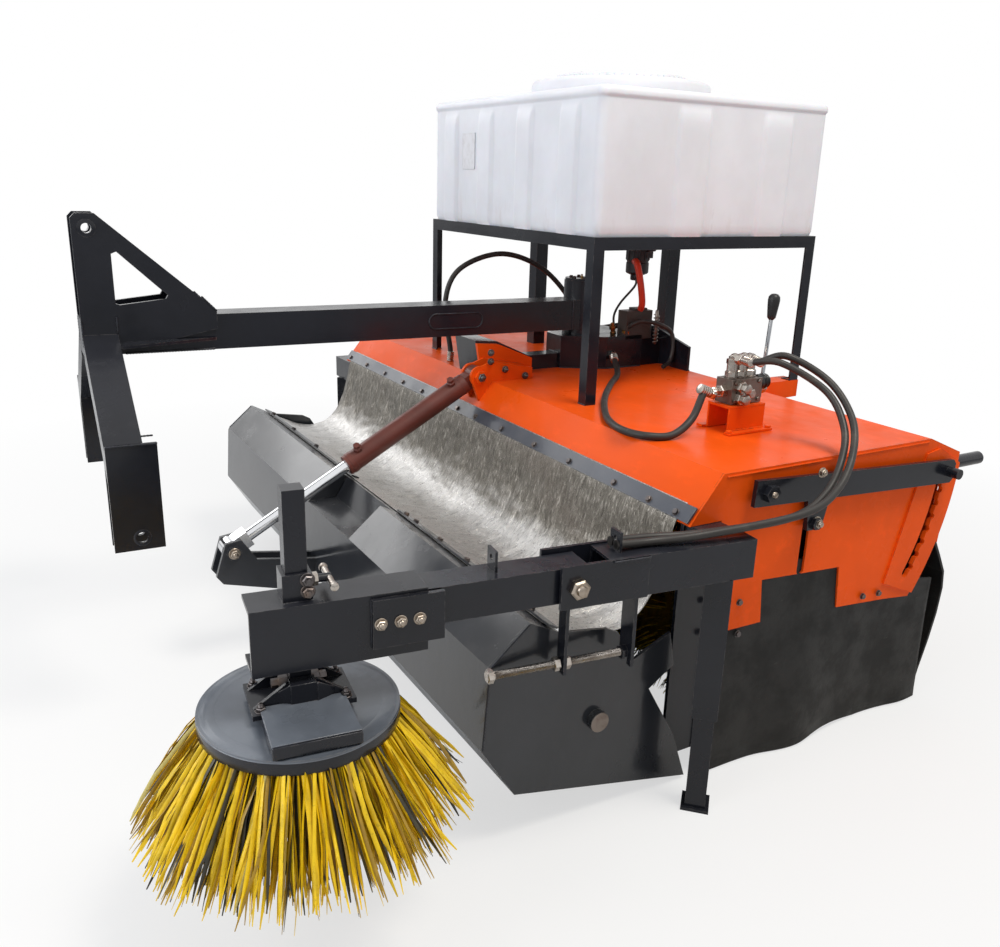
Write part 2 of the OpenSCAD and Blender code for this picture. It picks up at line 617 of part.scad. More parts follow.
module arm_block(s, t) intersection() {
    translate([0, 0, beam_z + beam_s - 6]) rotate([-s * arm_slope, 0, 0]) translate([hitch_len - 90 + t, s > 0 ? -60 : -640, -64 + t])
        cube([90 - 2 * t, 700, 64 - 2 * t]);
    box([hitch_len - 200, s > 0 ? beam_s / 2 + plate_t : -clevis_out + plate_t, 400],
        [hitch_len + 10, s > 0 ? clevis_out - plate_t : -beam_s / 2 - plate_t, 1200]);
}
module hitch_arms() color(black) hitch_frame() for (s = [-1, 1]) {
    difference() {
        arm_block(s, 0);
        arm_block(s, 6);
    }
    y = s * (beam_s / 2 + plate_t);
    translate([0, 0, beam_z + 28]) linear_extrude(8) polygon([[hitch_len - 90, y], [hitch_len - 350, y],
        [hitch_len - 90, y + s * 76]]);
}
module link_clevises() color(black) hitch_frame() for (s = [-1, 1]) for (o = [-1, 1]) {
    y = s * (clevis_y + o * (hook_w + plate_t / 2));
    difference() {
        xz(y - plate_t / 2, y + plate_t / 2) polygon([[hitch_len - 120, link_z - 32], [hitch_len, link_z - 32],
            [hitch_len, clevis_top], [hitch_len - 120, clevis_top]]);
        rod_y(hitch_len - 67, link_z, link_r, -600, 600);
        if (o < 0) {
            arm_block(s, 0);
            translate([0, 0, beam_z + beam_s - 6]) rotate([-s * arm_slope, 0, 0])
                translate([hitch_len - 200, s > 0 ? 100 : -700, -64]) cube([300, 600, 300]);
        }
    }
}

module bucket_shell() color([0.13, 0.14, 0.16]) {
    y1 = -bucket_gap - side_t;
    y0 = -hood_w - y1;
    difference() {
        xz(y0, y1) polygon(band(bucket_pts, bucket_t));
        xz(pocket_y - pocket_w / 2, pocket_y + pocket_w / 2) polygon([b_high + [10, 0], b_high + [-bucket_t - 2, -2.5],
            [462, 500], [462, 600], [600, 600]]);
    }
    py = pocket_y;
    difference() {
        xz(py - pocket_w / 2, py + pocket_w / 2) polygon(band([b_high, pocket_q, at_x(b_top, b_edge, 462)], bucket_t));
        xz(y0, y1) polygon([b_high, b_high + [60, 0], [600, 300], [b_low[0] + 10, 300], b_high + [0, -20]]);
    }
    for (s = [-1, 1]) let (y = py + s * (pocket_w / 2 + bucket_t / 2)) xz(y - bucket_t / 2, y + bucket_t / 2)
        polygon([b_high + [-bucket_t, -1], b_top + [0, -bucket_t - 3], at_x(b_top, b_edge, 466) + [0, -bucket_t - 2],
            pocket_q + [2, 2]]);
    // clamp bar of the flexible sheet
    xz(y0, py - pocket_w / 2 - bucket_t) polygon(band([at_x(b_edge, b_top, 424), at_x(b_edge, b_top, 448)], 8.6, 3.6));
    xz(py + pocket_w / 2 + bucket_t, y1) polygon(band([at_x(b_edge, b_top, 424), at_x(b_edge, b_top, 448)], 8.6, 3.6));
}
module bucket_side() {
    difference() {
        xz(-bucket_gap - side_t, -bucket_gap) polygon([b_lip, b_toe, b_low, b_high, b_top, b_edge, [292, 481],
            [262, 465], [240, 430], [222, 378], [107, 428], [88, 339], [158, 293], [68, 142]]);
        rod_y(tip_x, tip_z, tip_r, -100, 10);
    }
    rod_y(tip_x, tip_z, tip_r, -frame_in - frame_t - 4, 6);
}
module bucket_side_near() color([0.13, 0.14, 0.16]) bucket_side();
module bucket_side_far() color([0.13, 0.14, 0.16]) far_side() bucket_side();
module bucket_lug() color(black) {
    for (s = [-1, 1]) let (y = cyl_y + s * (ear_gap + 6)) xz(y - 6, y + 6) polygon([at_z(b_low, b_high, 305), b_low,
        at_z(b_toe, b_low, 230), [700, 222], [885, 275], [903, 300], [872, 398], [826, 404], [782, 335]]);
    for (s = [-1, 1]) rod_y(cyl_e[0], cyl_e[1], pin_r + 7, min(cyl_y + s * (ear_gap + 12), cyl_y + s * (ear_gap + 24)),
        max(cyl_y + s * (ear_gap + 12), cyl_y + s * (ear_gap + 24)), 6);
    // tie plate between the two cheeks
    xz(cyl_y - ear_gap, cyl_y + ear_gap) polygon([at_z(b_low, b_high, 290), b_low, at_z(b_toe, b_low, 240), [700, 236],
        [700, 244], [616, 290]]);
}

module cylinder_barrel() color([0.36, 0.12, 0.09]) cyl_frame() {
    difference() {
        union() {
            rotate([0, 90, 0]) translate([0, 0, 47]) cylinder(r = barrel_r, h = barrel_len - 47, $fn = 96);
            box([0, -ear_gap + 1, -22], [48, ear_gap - 1, 22]);
            rod_y(0, 0, 30, -ear_gap, ear_gap);
        }
        rod_y(0, 0, pin_r + run, -60, 60);
        rotate([0, 90, 0]) translate([0, 0, 55]) cylinder(r = barrel_r - 6, h = barrel_len - 85, $fn = 96);
        rotate([0, 90, 0]) translate([0, 0, barrel_len - 40]) cylinder(r = rod_r + run, h = 50, $fn = 96);
    }
}
module cylinder_rod() color([0.8, 0.8, 0.82]) cyl_frame() {
    rotate([0, 90, 0]) {
        translate([0, 0, 400]) cylinder(r = rod_r, h = cyl_len - 400 - 30, $fn = 96);
        translate([0, 0, 400]) cylinder(r = barrel_r - 6 - run, h = 30, $fn = 96);
    }
    translate([cyl_len, 0, 0]) {
        rod_y(0, 0, 30, -ear_gap + eps, ear_gap - eps);
        box([-62, -24 + eps, -24], [0, 24 - eps, 24]);
    }
}

module side_arm() color(black) arm_frame() {
    difference() {
        box([tube_start, -tube_s / 2 - 1, tube_z], [chan_x0 + 160, tube_s / 2 - 1, tube_z + tube_s]);
        box([tube_start - 1, -tube_s / 2 + 5, tube_z + 6], [chan_x0 + 161, tube_s / 2 - 7, tube_z + tube_s - 6]);
        rod_y(hinge_x, hinge_z, 12 + run, -60, 60);
    }
    // thrust washers between the tube and the cheeks
    for (q = [[-arm_s / 2 + eps, -tube_s / 2 - 1], [tube_s / 2 - 1, arm_s / 2 - eps]]) difference() {
        rod_y(hinge_x, hinge_z, 22, q[0], q[1]);
        rod_y(hinge_x, hinge_z, 12 + run, -60, 60);
    }
    // channel with its web on the outside, and the sleeve that guides the post
    difference() {
        union() {
            difference() {
                box([chan_x0, -tube_s / 2 - 1, chan_top - chan_h], [chan_x1, arm_s / 2, chan_top]);
                box([chan_x0 - 1, -arm_s, chan_top - chan_h + chan_t], [chan_x1 + 1, arm_s / 2 - chan_t, chan_top - chan_t]);
            }
            box([post_out - 27, post_y - 27, chan_top - chan_h], [post_out + 27, post_y + 27, chan_top + 52]);
            // clamp screw with its cross handle
            translate([post_out - 66, post_y, chan_top + 28]) rotate([0, 90, 0]) cylinder(r = 8, h = 40, $fn = 32);
            rod_y(post_out - 62, chan_top + 28, 5, post_y - 45, post_y + 45, 24);
        }
        box([post_out - post_s / 2 - eps, post_y - post_s / 2 - eps, 300], [post_out + post_s / 2 + eps, post_y + post_s / 2 + eps, 999]);
    }
    // splice plate
    box([chan_x0 - 30, arm_s / 2, chan_top - 106], [chan_x0 + 110, arm_s / 2 + 10, chan_top - 8]);
    // push tab and threaded stop rod with its nut
    box([hinge_x - 4, -16, 430], [hinge_x + 4, 16, tube_z]);
    translate([hinge_x + 4, 0, 452]) rotate([0, 90, 0]) cylinder(r = 8, h = 160, $fn = 32);
    translate([270, 0, 452]) rotate([0, 90, 0]) cylinder(r = 8, h = hinge_x - 4 - 270, $fn = 32);
    translate([287 + eps, 0, 452]) rotate([0, 90, 0]) cylinder(r = 15, h = 13, $fn = 6);
    difference() {
        box([600, -30, tube_z + tube_s], [606, 10, tube_z + tube_s + 44]);
        translate([598, -10, tube_z + tube_s + 26]) rotate([0, 90, 0]) cylinder(r = 7, h = 12, $fn = 32);
    }
}

module at_post() translate([post_c[0], post_c[1], 0]) rotate([0, 0, -arm_in]) children();
module side_post() color(black) at_post() {
    zd = disc_z + disc_t;
    box([-post_s / 2, -post_s / 2, zd + 24], [post_s / 2, post_s / 2, post_top]);
    box([-95, -60, zd + 14], [95, 60, zd + 24]);
    for (s = [-1, 1]) translate([0, s * 34, 0]) rotate([90, 0, 0]) translate([0, 0, -4]) linear_extrude(8)
        polygon([[-90, zd + 24], [90, zd + 24], [30, zd + 64], [-30, zd + 64]]);
    for (s = [-1, 1]) box([-post_s / 2, s > 0 ? post_s / 2 : -30, zd + 24], [post_s / 2, s > 0 ? 30 : -post_s / 2, zd + 58]);
    translate([0, 0, zd + eps]) cylinder(r = 55, h = 14 - eps, $fn = 64);
    translate([0, 0, disc_z - 12]) cylinder(r = 20, h = disc_t + 14, $fn = 64);
    translate([0, 0, disc_z - 12]) cylinder(r = 32, h = 12 - eps, $fn = 6);
}
module side_disc() color([0.1, 0.1, 0.1]) at_post() difference() {
    translate([0, 0, disc_z]) cylinder(r = disc_r, h = disc_t, $fn = 128);
    translate([0, 0, disc_z - 1]) cylinder(r = 20 + run, h = disc_t + 2, $fn = 64);
}
module side_bristles() color([0.82, 0.68, 0.1]) at_post()
    rotate_extrude($fn = 128) polygon([[disc_r - 70, disc_z], [disc_r - 6, disc_z], [disc_r + 40, disc_z - 60],
        [side_r, side_lift], [side_r - 110, side_lift], [disc_r - 30, disc_z - 80]]);

hose_a = [[-317, -258.5, 998], [-317, -235, 998], [-350, -180, 1018], [-415, -95, 965], [-400, 0, 895], [-340, 65, 828],
    [-250, 108, 765], [-120, 128, 732], [130, 92, 714], [238.7, 54.2, 704.5], [319.6, 44.3, 704.5]];
hose_b = [[-284, -258.5, 998], [-284, -235, 998], [-322, -170, 1004], [-390, -78, 945], [-376, 0, 875], [-320, 52, 812],
    [-238, 86, 750], [-115, 102, 716], [110, 68, 706], [235.8, 30.4, 704.5], [316.7, 20.5, 704.5]];
module hose_pair() color([0.12, 0.12, 0.12]) {
    hose(hose_a, 9);
    hose(hose_b, 9);
}
module hose_valve() color([0.12, 0.12, 0.12])
    hose([[-210, -304, 911], [-195, -304, 911], [-150, -290, 850], [-80, -280, 817], [-15, -300, 817], [8, -370, 817],
        [-20, -470, 817], [-90, -585, 817], [-180, -705, 817], [-300, -840, 817], [-420, -965, 819], [-490, -1085, 850]], 10);
module hose_loop() color([0.12, 0.12, 0.12])
    hose([[-30, -1425, 806], [-30, -1425, 850], [-8, -1425, 1010], [-60, -1425, 1122], [-219, -1425, 1173],
        [-380, -1425, 1130], [-490, -1400, 1030], [-540, -1352, 900]], 9);

place() hood_shell();
place() end_plate_near();
place() end_plate_far();
place() height_lever_near();
place() height_lever_far();
place() side_frame_near();
place() side_frame_far();
place() skirt_near();
place() skirt_far();
place() rear_flap();
place() sheet_bar();
place() flex_sheet();
place() pivot_bracket();
place() cylinder_clevis();
place() tank_stand();
place() rear_brackets();
place() tank();
place() tank_lid();
place() spray_pump();
place() valve_bracket();
place() control_valve();
place() arm_bracket();
place() leg_bracket_far();
place() leg_near();
place() leg_far();
place() main_core();
place() main_bristles();
place() hitch_beam();
place() mast();
place() hitch_arms();
place() link_clevises();
place() bucket_shell();
place() bucket_side_near();
place() bucket_side_far();
place() bucket_lug();
place() cylinder_barrel();
place() cylinder_rod();
place() side_arm();
place() side_post();
place() side_disc();
place() side_bristles();
place() hose_pair();
place() hose_valve();
place() hose_loop();
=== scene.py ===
"""Finishes and fittings of a tractor-hitched road sweeper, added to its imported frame."""

import json
import math
import random

import bmesh
import bpy
from bpy.props import FloatProperty, FloatVectorProperty, IntProperty, PointerProperty
from mathutils import Matrix, Vector, noise

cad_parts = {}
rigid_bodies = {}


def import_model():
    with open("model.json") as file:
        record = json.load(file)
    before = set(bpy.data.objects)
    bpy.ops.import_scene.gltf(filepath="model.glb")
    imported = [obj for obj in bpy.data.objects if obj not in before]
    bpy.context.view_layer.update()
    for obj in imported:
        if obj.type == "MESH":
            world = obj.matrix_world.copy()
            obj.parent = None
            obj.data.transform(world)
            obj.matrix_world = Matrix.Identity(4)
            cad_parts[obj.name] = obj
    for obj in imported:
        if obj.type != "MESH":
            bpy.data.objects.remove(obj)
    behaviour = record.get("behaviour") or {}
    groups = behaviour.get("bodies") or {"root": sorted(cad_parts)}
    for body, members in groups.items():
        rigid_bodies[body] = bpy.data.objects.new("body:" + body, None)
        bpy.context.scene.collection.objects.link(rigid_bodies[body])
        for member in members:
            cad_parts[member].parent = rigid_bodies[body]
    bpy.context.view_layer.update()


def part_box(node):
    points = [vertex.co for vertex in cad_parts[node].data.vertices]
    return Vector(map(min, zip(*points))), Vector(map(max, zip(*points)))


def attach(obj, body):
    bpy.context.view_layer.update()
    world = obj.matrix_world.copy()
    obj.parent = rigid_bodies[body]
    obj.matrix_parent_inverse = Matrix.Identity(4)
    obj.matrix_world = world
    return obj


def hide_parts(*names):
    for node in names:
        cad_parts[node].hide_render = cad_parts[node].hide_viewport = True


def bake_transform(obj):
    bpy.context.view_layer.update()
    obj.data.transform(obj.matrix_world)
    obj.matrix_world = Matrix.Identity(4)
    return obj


bl_info = {
    "name": "Hitch sweeper fittings",
    "version": (1, 0, 0),
    "blender": (4, 5, 0),
    "location": "View3D > Sidebar > Sweeper",
    "description": "Adds finishes, bristles, hoses and fittings to the sweeper's frame",
    "category": "Object",
}

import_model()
HOOD_LOW, HOOD_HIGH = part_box("hood_shell")
# millimetres count from the hood's front, its near end and the floor
ORIGIN = Vector((-0.861 - HOOD_LOW.x, -0.006 - HOOD_HIGH.y, 0.0))
HOOD = Matrix.Translation(-ORIGIN) @ Matrix.Scale(0.001, 4)
X, Y, Z = Vector((1, 0, 0)), Vector((0, 1, 0)), Vector((0, 0, 1))

HOOD_LENGTH = 2130
# each end of the hood: the way out of it, and a place counted outward from it
ENDS = ((1, lambda out: out), (-1, lambda out: -HOOD_LENGTH - out))
TURRET = (-432, -1218)
BRUSH_X, BRUSH_Z = -290.0, 280.0
CYLINDER_Y = -1103
CYLINDER_BACK, CYLINDER_EYE = (44, 823), (851, 370)
LEVER_PIN, LEVER_LENGTH, LEVER_SLOPE = (-123, 750), 666, math.radians(3.1)
STOP_Z = 452
RIPPLE = 4.0


def turn(degrees, axis):
    return Matrix.Rotation(math.radians(degrees), 4, axis)


def shift(x, y, z):
    return Matrix.Translation((x, y, z))


HITCH = HOOD @ shift(*TURRET, 0) @ turn(-2.6, "Z")
ARM = HOOD @ shift(0, 79.5, 0) @ turn(-7, "Z")
POST = ARM @ shift(994, -1, 0)


def box_mm(node):
    """Both corners of a frame node's box, in the hood's millimetres."""
    return [[(a + o) * 1000 for a, o in zip(corner, ORIGIN)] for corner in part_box(node)]


def axes(u, v, w, point):
    """A place with its own X, Y and Z along three directions."""
    m = Matrix((u, v, w)).transposed().to_4x4()
    m.translation = Vector(point)
    return m


def aim(point, axis):
    """Places a fitting's own Z along an axis at a point."""
    axis = Vector(axis).normalized()
    u = (Z if abs(axis.z) < 0.9 else X).cross(axis).normalized()
    return axes(u, axis.cross(u), axis, point)


def smooth_path(points, steps=6):
    """Points of a smooth curve that runs through every given point."""
    p = [Vector(q) for q in points]
    p = [p[0] * 2 - p[1]] + p + [p[-1] * 2 - p[-2]]
    out = []
    for a, b, c, d in zip(p, p[1:], p[2:], p[3:]):
        bend = 2 * a - 5 * b + 4 * c - d
        for k in range(steps):
            t = k / steps
            out.append(0.5 * (2 * b + (c - a) * t + bend * t * t + (3 * b - a - 3 * c + d) * t ** 3))
    return out + [p[-2]]


def ease(t):
    t = min(1.0, max(0.0, t))
    return t * t * (3 - 2 * t)


LIB = {}


class Stock:
    """The mesh of one piece, written in millimetres in the frame of the part that carries it."""

    def __init__(self, place=HOOD):
        self.bm = bmesh.new()
        self.place = place
        self.skin = 0

    def loft(self, rings, at=None, caps=True, closed=True):
        """A skin over rows of points; open rows make a sheet."""
        m = self.place @ at if at else self.place
        rows = [[self.bm.verts.new(m @ Vector(p)) for p in ring] for ring in rings]
        n = len(rows[0])
        faces = []
        for a, b in zip(rows, rows[1:]):
            for j in range(n if closed else n - 1):
                k = (j + 1) % n
                faces.append((a[j], a[k], b[k], b[j]))
        if caps and closed:
            faces += [rows[0][::-1], rows[-1]]
        for face in faces:
            self.bm.faces.new(face).material_index = self.skin

    def slab(self, outline, z0, z1, at=None):
        """A flat plate cut to an outline, between two heights."""
        self.loft([[(x, y, z) for x, y in outline] for z in (z0, z1)], at)

    def side_plate(self, outline, y0, y1, at=None):
        """A plate that stands across the machine: the outline is in X and Z."""
        self.loft([[(x, y, z) for x, z in outline] for y in (y0, y1)], at)

    def block(self, low, high, at=None):
        (x0, y0, z0), (x1, y1, z1) = low, high
        self.slab([(x0, y0), (x1, y0), (x1, y1), (x0, y1)], z0, z1, at)

    def turned(self, profile, at=None, sides=32, start=0.0, caps=True):
        """A round piece: the profile gives radius and height."""
        angles = [2 * math.pi * j / sides + start for j in range(sides)]
        self.loft([[(r * math.cos(a), r * math.sin(a), z) for a in angles] for r, z in profile], at, caps)

    def pipe(self, points, radius, sides=14, taper=None, flat=1.0, twist=0.0):
        """A round bar, or with flat below 1 a strip, along a path."""
        pts = [Vector(p) for p in points]
        last = len(pts) - 1
        angles = [2 * math.pi * j / sides for j in range(sides)]
        rings = []
        side = None
        for i, p in enumerate(pts):
            t = (pts[min(i + 1, last)] - pts[max(i - 1, 0)]).normalized()
            if side is None:
                side = Matrix.Rotation(twist, 3, t) @ t.orthogonal().normalized()
            side = (side - t * side.dot(t)).normalized()
            up = t.cross(side) * flat
            r = radius if taper is None else radius * taper(i / last)
            rings.append([p + (side * math.cos(a) + up * math.sin(a)) * r for a in angles])
        self.loft(rings)

    def bolt(self, point, axis, size=8.0, washer=True, stick=0.0):
        """A hexagon head on a washer; size is the thread, stick an end that stands out of a nut."""
        m = aim(point, axis)
        w = 0.0
        if washer:
            w = size * 0.16
            rim = [(size * 1.15, size * 0.1), (size * 1.08, w), (size * 0.9, size * 0.17)]
            self.turned([(size * 0.9, -0.6), (size * 1.12, -0.6)] + rim, m, 24)
        r, h = size * 0.95, size * 0.66
        head = [(r * 0.97, w), (r, w + h * 0.1), (r, w + h * 0.78), (r * 0.84, w + h)]
        self.turned(head + [(r * 0.3, w + h * 1.02)], m, 6, random.random())
        if stick:
            self.thread(m, size / 2, w + h, w + h + stick, size * 0.18)

    def thread(self, at, radius, z0, z1, pitch):
        """A threaded rod's end, with real turns."""
        profile = [(radius * 0.2, z0)]
        for i in range(max(1, int((z1 - z0) / pitch))):
            z = z0 + i * pitch
            profile += [(radius * 0.86, z), (radius, z + pitch * 0.5)]
        self.turned(profile + [(radius * 0.86, z1), (radius * 0.5, z1 + pitch * 0.4)], at, 14)

    def weld(self, width, *paths):
        """A bead of overlapping weld ripples along each path."""
        for path in paths:
            pts = [Vector(p) for p in path]
            for a, b in zip(pts, pts[1:]):
                n = max(2, int((b - a).length / RIPPLE))
                line = [a.lerp(b, i / n) for i in range(n + 1)]
                self.pipe(line, width / 2, 6, lambda t: 0.8 + 0.25 * abs(math.sin(t * n * 1.57)))

    def piece(self, name, body, skins, slot, sharp=35.0, bevel=0.0, thick=0.0, node=None):
        """Ends the stock as a piece that rides on a body, in its finishes, and may replace a frame's node."""
        bmesh.ops.recalc_face_normals(self.bm, faces=self.bm.faces)
        mesh = bpy.data.meshes.new(name)
        self.bm.to_mesh(mesh)
        self.bm.free()
        obj = bpy.data.objects.new(name, mesh)
        bpy.context.scene.collection.objects.link(obj)
        for s in skins.split():
            mesh.materials.append(LIB[s])
        mesh.shade_smooth()
        mesh.set_sharp_from_angle(angle=math.radians(sharp))
        if bevel:
            m = obj.modifiers.new("edge", "BEVEL")
            m.width, m.segments, m.limit_method, m.angle_limit = bevel / 1000, 2, "ANGLE", math.radians(40)
        if body:
            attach(obj, body)
        if thick:
            m = obj.modifiers.new("thickness", "SOLIDIFY")
            m.thickness, m.offset = thick / 1000, 0.0
        if node:
            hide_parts(node)
        return obj


class Field:
    """A number, colour or vector inside a node tree; sums and products of fields add their nodes."""

    def __init__(self, nodes, socket):
        self.nodes, self.socket = nodes, socket

    def math(self, kind, a, b):
        return self.nodes.node("ShaderNodeMath", {"operation": kind}, {0: a, 1: b})

    def __add__(self, other):
        return self.math("ADD", self, other)

    __radd__ = __add__

    def __mul__(self, other):
        return self.math("MULTIPLY", self, other)

    __rmul__ = __mul__

    def __sub__(self, other):
        return self.math("SUBTRACT", self, other)

    def __rsub__(self, other):
        return self.math("SUBTRACT", other, self)

    def ramp(self, low, high, to=(0.0, 1.0), kind="SMOOTHSTEP"):
        """Runs from to[0] at low to to[1] at high."""
        ends = {"From Min": low, "From Max": high, "To Min": to[0], "To Max": to[1]}
        return self.nodes.node("ShaderNodeMapRange", {"interpolation_type": kind}, {"Value": self, **ends})


class Nodes:
    """A node tree, cleared and then filled node by node."""

    def __init__(self, tree):
        self.tree = tree
        tree.nodes.clear()

    def node(self, kind, settings, inputs, out=0):
        n = self.tree.nodes.new(kind)
        for k, v in settings.items():
            setattr(n, k, v)
        for k, v in inputs.items():
            if isinstance(v, Field):
                self.tree.links.new(v.socket, n.inputs[k])
            else:
                n.inputs[k].default_value = v
        return Field(self, n.outputs[out])

    def end(self, kind, surface):
        self.tree.links.new(surface.socket, self.tree.nodes.new(kind).inputs["Surface"])

    def ray(self, kind):
        return self.node("ShaderNodeLightPath", {}, {}, kind)


class Finish(Nodes):
    """One procedural material, built round a Principled surface."""

    def __init__(self, name):
        self.material = bpy.data.materials.new(name)
        self.material.use_nodes = True
        super().__init__(self.material.node_tree)
        self.where = self.node("ShaderNodeTexCoord", {}, {}, "Object")

    def grain(self, scale, detail=3.0, rough=0.55, stretch=None, warp=0.0):
        at = self.where
        if stretch:
            at = self.node("ShaderNodeMapping", {}, {"Vector": at, "Scale": stretch})
        inputs = {"Vector": at, "Scale": scale, "Detail": detail, "Roughness": rough, "Distortion": warp}
        return self.node("ShaderNodeTexNoise", {}, inputs)

    def mix(self, share, a, b):
        return self.node("ShaderNodeMix", {"data_type": "RGBA"}, {0: share, 6: colour(a), 7: colour(b)}, 2)

    def facing_up(self):
        return self.node("ShaderNodeSeparateXYZ", {}, {0: self.normal()}, 2)

    def height(self):
        return self.node("ShaderNodeSeparateXYZ", {}, {0: self.where}, 2)

    def normal(self):
        return self.node("ShaderNodeNewGeometry", {}, {}, "Normal")

    def edge(self, radius):
        """How near an edge is: 0 on a flat face, rising at a corner."""
        rounded = self.node("ShaderNodeBevel", {"samples": 4}, {"Radius": radius})
        both = {0: self.normal(), 1: rounded}
        return 1.0 - self.node("ShaderNodeVectorMath", {"operation": "DOT_PRODUCT"}, both, "Value")

    def bump(self, height, distance, strength):
        return self.node("ShaderNodeBump", {}, {"Height": height, "Distance": distance, "Strength": strength})

    def close(self, base, rough, metal, normal, coat=0.0, **extra):
        if coat:
            extra["Coat Roughness"] = 0.1
        inputs = {"Base Color": colour(base), "Roughness": rough, "Metallic": metal, "Normal": normal}
        surface = self.node("ShaderNodeBsdfPrincipled", {}, {**inputs, "Coat Weight": coat, **extra})
        self.end("ShaderNodeOutputMaterial", surface)
        return self.material


def colour(c):
    return c if isinstance(c, Field) else (*c[:3], 1.0)


def shade(c, k):
    return tuple(v * k for v in c[:3])


COLOUR = {"subtype": "COLOR", "size": 3, "min": 0, "max": 1}


class SweeperFinishes(bpy.types.PropertyGroup):
    """Colours of the paints and plastics."""

    hood: FloatVectorProperty(
        name="Hood paint", description="Enamel on the hood and its fittings",
        default=(0.84, 0.092, 0.006), **COLOUR
    )
    frame: FloatVectorProperty(
        name="Frame paint", description="Blue-black enamel on the frame, arm and hitch",
        default=(0.0095, 0.0105, 0.0155), **COLOUR
    )
    bucket: FloatVectorProperty(
        name="Bucket paint", description="Dark grey paint on the bucket",
        default=(0.024, 0.026, 0.031), **COLOUR
    )
    tank: FloatVectorProperty(
        name="Tank plastic", description="Milky plastic of the water tank",
        default=(0.74, 0.75, 0.80), **COLOUR
    )
    bristle: FloatVectorProperty(
        name="Bristle yellow", description="Main colour of the side brush",
        default=(0.95, 0.64, 0.008), **COLOUR
    )
    primer: FloatVectorProperty(
        name="Cylinder primer", description="Red-brown primer on the tipping cylinder",
        default=(0.115, 0.026, 0.018), **COLOUR
    )


class SweeperSizes(bpy.types.PropertyGroup):
    """Sizes and counts of the added pieces."""

    rim: FloatProperty(
        name="Tank rim", description="Bulge of the tank's moulded top rim",
        unit="LENGTH", default=0.005, min=0.0, max=0.015
    )
    rib: FloatProperty(
        name="Tank rib", description="How far the moulded ribs stand out of the tank's sides",
        unit="LENGTH", default=0.009, min=0.0, max=0.02
    )
    crinkle: FloatProperty(
        name="Sheet crinkle", description="Depth of the creases in the reflective sheet",
        unit="LENGTH", default=0.006, min=0.0, max=0.012
    )
    side_strands: IntProperty(
        name="Side brush strands", description="Number of bristles in the side brush",
        default=1350, min=200, max=2600
    )
    main_strands: IntProperty(
        name="Main brush strands", description="Bristles in each wafer of the main brush",
        default=96, min=20, max=140
    )
    hose_sides: IntProperty(name="Hose sides", description="Sides of each hose", default=16, min=8, max=24)


def settings():
    return bpy.context.scene.sweeper_finishes, bpy.context.scene.sweeper_sizes


def enamel(name, base, rough, dust, wear_tone, coat, streak, spread, wear, shine):
    """Brushed-on enamel: uneven gloss, dust on what faces up (in the disc paint this layer is bluish and
    heavy, a painted sky reflection), and edges worn to primer.
    """
    f = Finish(name)
    broad = f.grain(2.2, 4, 0.6, streak)
    fine = f.grain(26, 3, 0.6, streak)
    tone = f.mix(broad.ramp(0.3, 0.7), shade(base, 1 - spread), shade(base, 1 + spread))
    tone = f.mix(fine.ramp(0.52, 0.8) * 0.25, tone, shade(base, 1.5))
    up = f.facing_up().ramp(0.2, 0.95)
    # what faces up takes the dust colour; in the disc paint that colour is a bluish painted sky reflection
    # and sunlight
    dust_and_sheen = (f.grain(7, 5, 0.65).ramp(0.45, 0.8) * 0.5 + 0.12) * up
    tone = f.mix(dust_and_sheen * dust[3], tone, dust)
    chips = f.edge(0.0035).ramp(0.03, 0.22) * f.grain(55, 3, 0.7).ramp(0.42, 0.62) * wear
    tone = f.mix(chips, tone, wear_tone)
    gloss = f.grain(5, 4, 0.6).ramp(0.3, 0.75, (rough * 0.75, rough * 1.35)) + dust_and_sheen * 0.35
    bump = f.bump(f.grain(38, 2, 0.5, streak) + broad * 2.0, 0.0012, 0.25)
    return f.close(tone, gloss, 0.0, bump, coat, **{"Specular IOR Level": shine})


def metal(name, base, rough, tarnish, share, scale=30):
    f = Finish(name)
    spots = f.grain(scale, 4, 0.65)
    tone = f.mix(spots.ramp(0.45, 0.75) * share, base, tarnish)
    gloss = f.grain(scale * 2, 3, 0.6).ramp(0.3, 0.8, (rough * 0.7, rough * 1.4))
    return f.close(tone, gloss, 1.0 - spots.ramp(0.6, 0.85) * share, f.bump(spots, 0.0008, 0.1))


def rubber(name, base, rough, dust, scale=9.0, grain_scale=120):
    f = Finish(name)
    patch = f.grain(scale, 5, 0.65)
    low = f.height().ramp(0.35, 0.02)
    tone = f.mix(patch.ramp(0.5, 0.85) * 0.25 + low * 0.15, base, dust)
    smear = f.grain(5, 4, 0.6, (0.5, 1, 5)).ramp(0.6, 0.78)
    tone = f.mix(smear * 0.25, tone, dust)
    scratch = f.grain(90, 3, 0.7, (0.25, 1, 1)).ramp(0.68, 0.76)
    tone = f.mix(scratch * 0.35, tone, shade(dust, 1.6))
    gloss = f.grain(14, 3, 0.6).ramp(0.3, 0.7, (rough * 0.8, rough * 1.2))
    bump = f.bump(f.grain(grain_scale, 3, 0.6) + patch, 0.0012, 0.3)
    return f.close(tone, gloss, 0.0, bump, **{"Specular IOR Level": 0.3})


def strand(name, base, other):
    f = Finish(name)
    along = f.grain(42, 3, 0.6, (1, 1, 0.25))
    tone = f.mix(along.ramp(0.35, 0.7), base, other)
    tone = f.mix(f.grain(160, 2, 0.5).ramp(0.6, 0.75) * 0.5, tone, shade(base, 0.4))
    gloss = f.grain(70, 2).ramp(0.3, 0.7, (0.32, 0.5))
    return f.close(tone, gloss, 0.0, f.bump(f.grain(420, 2, 0.5), 0.0004, 0.3))


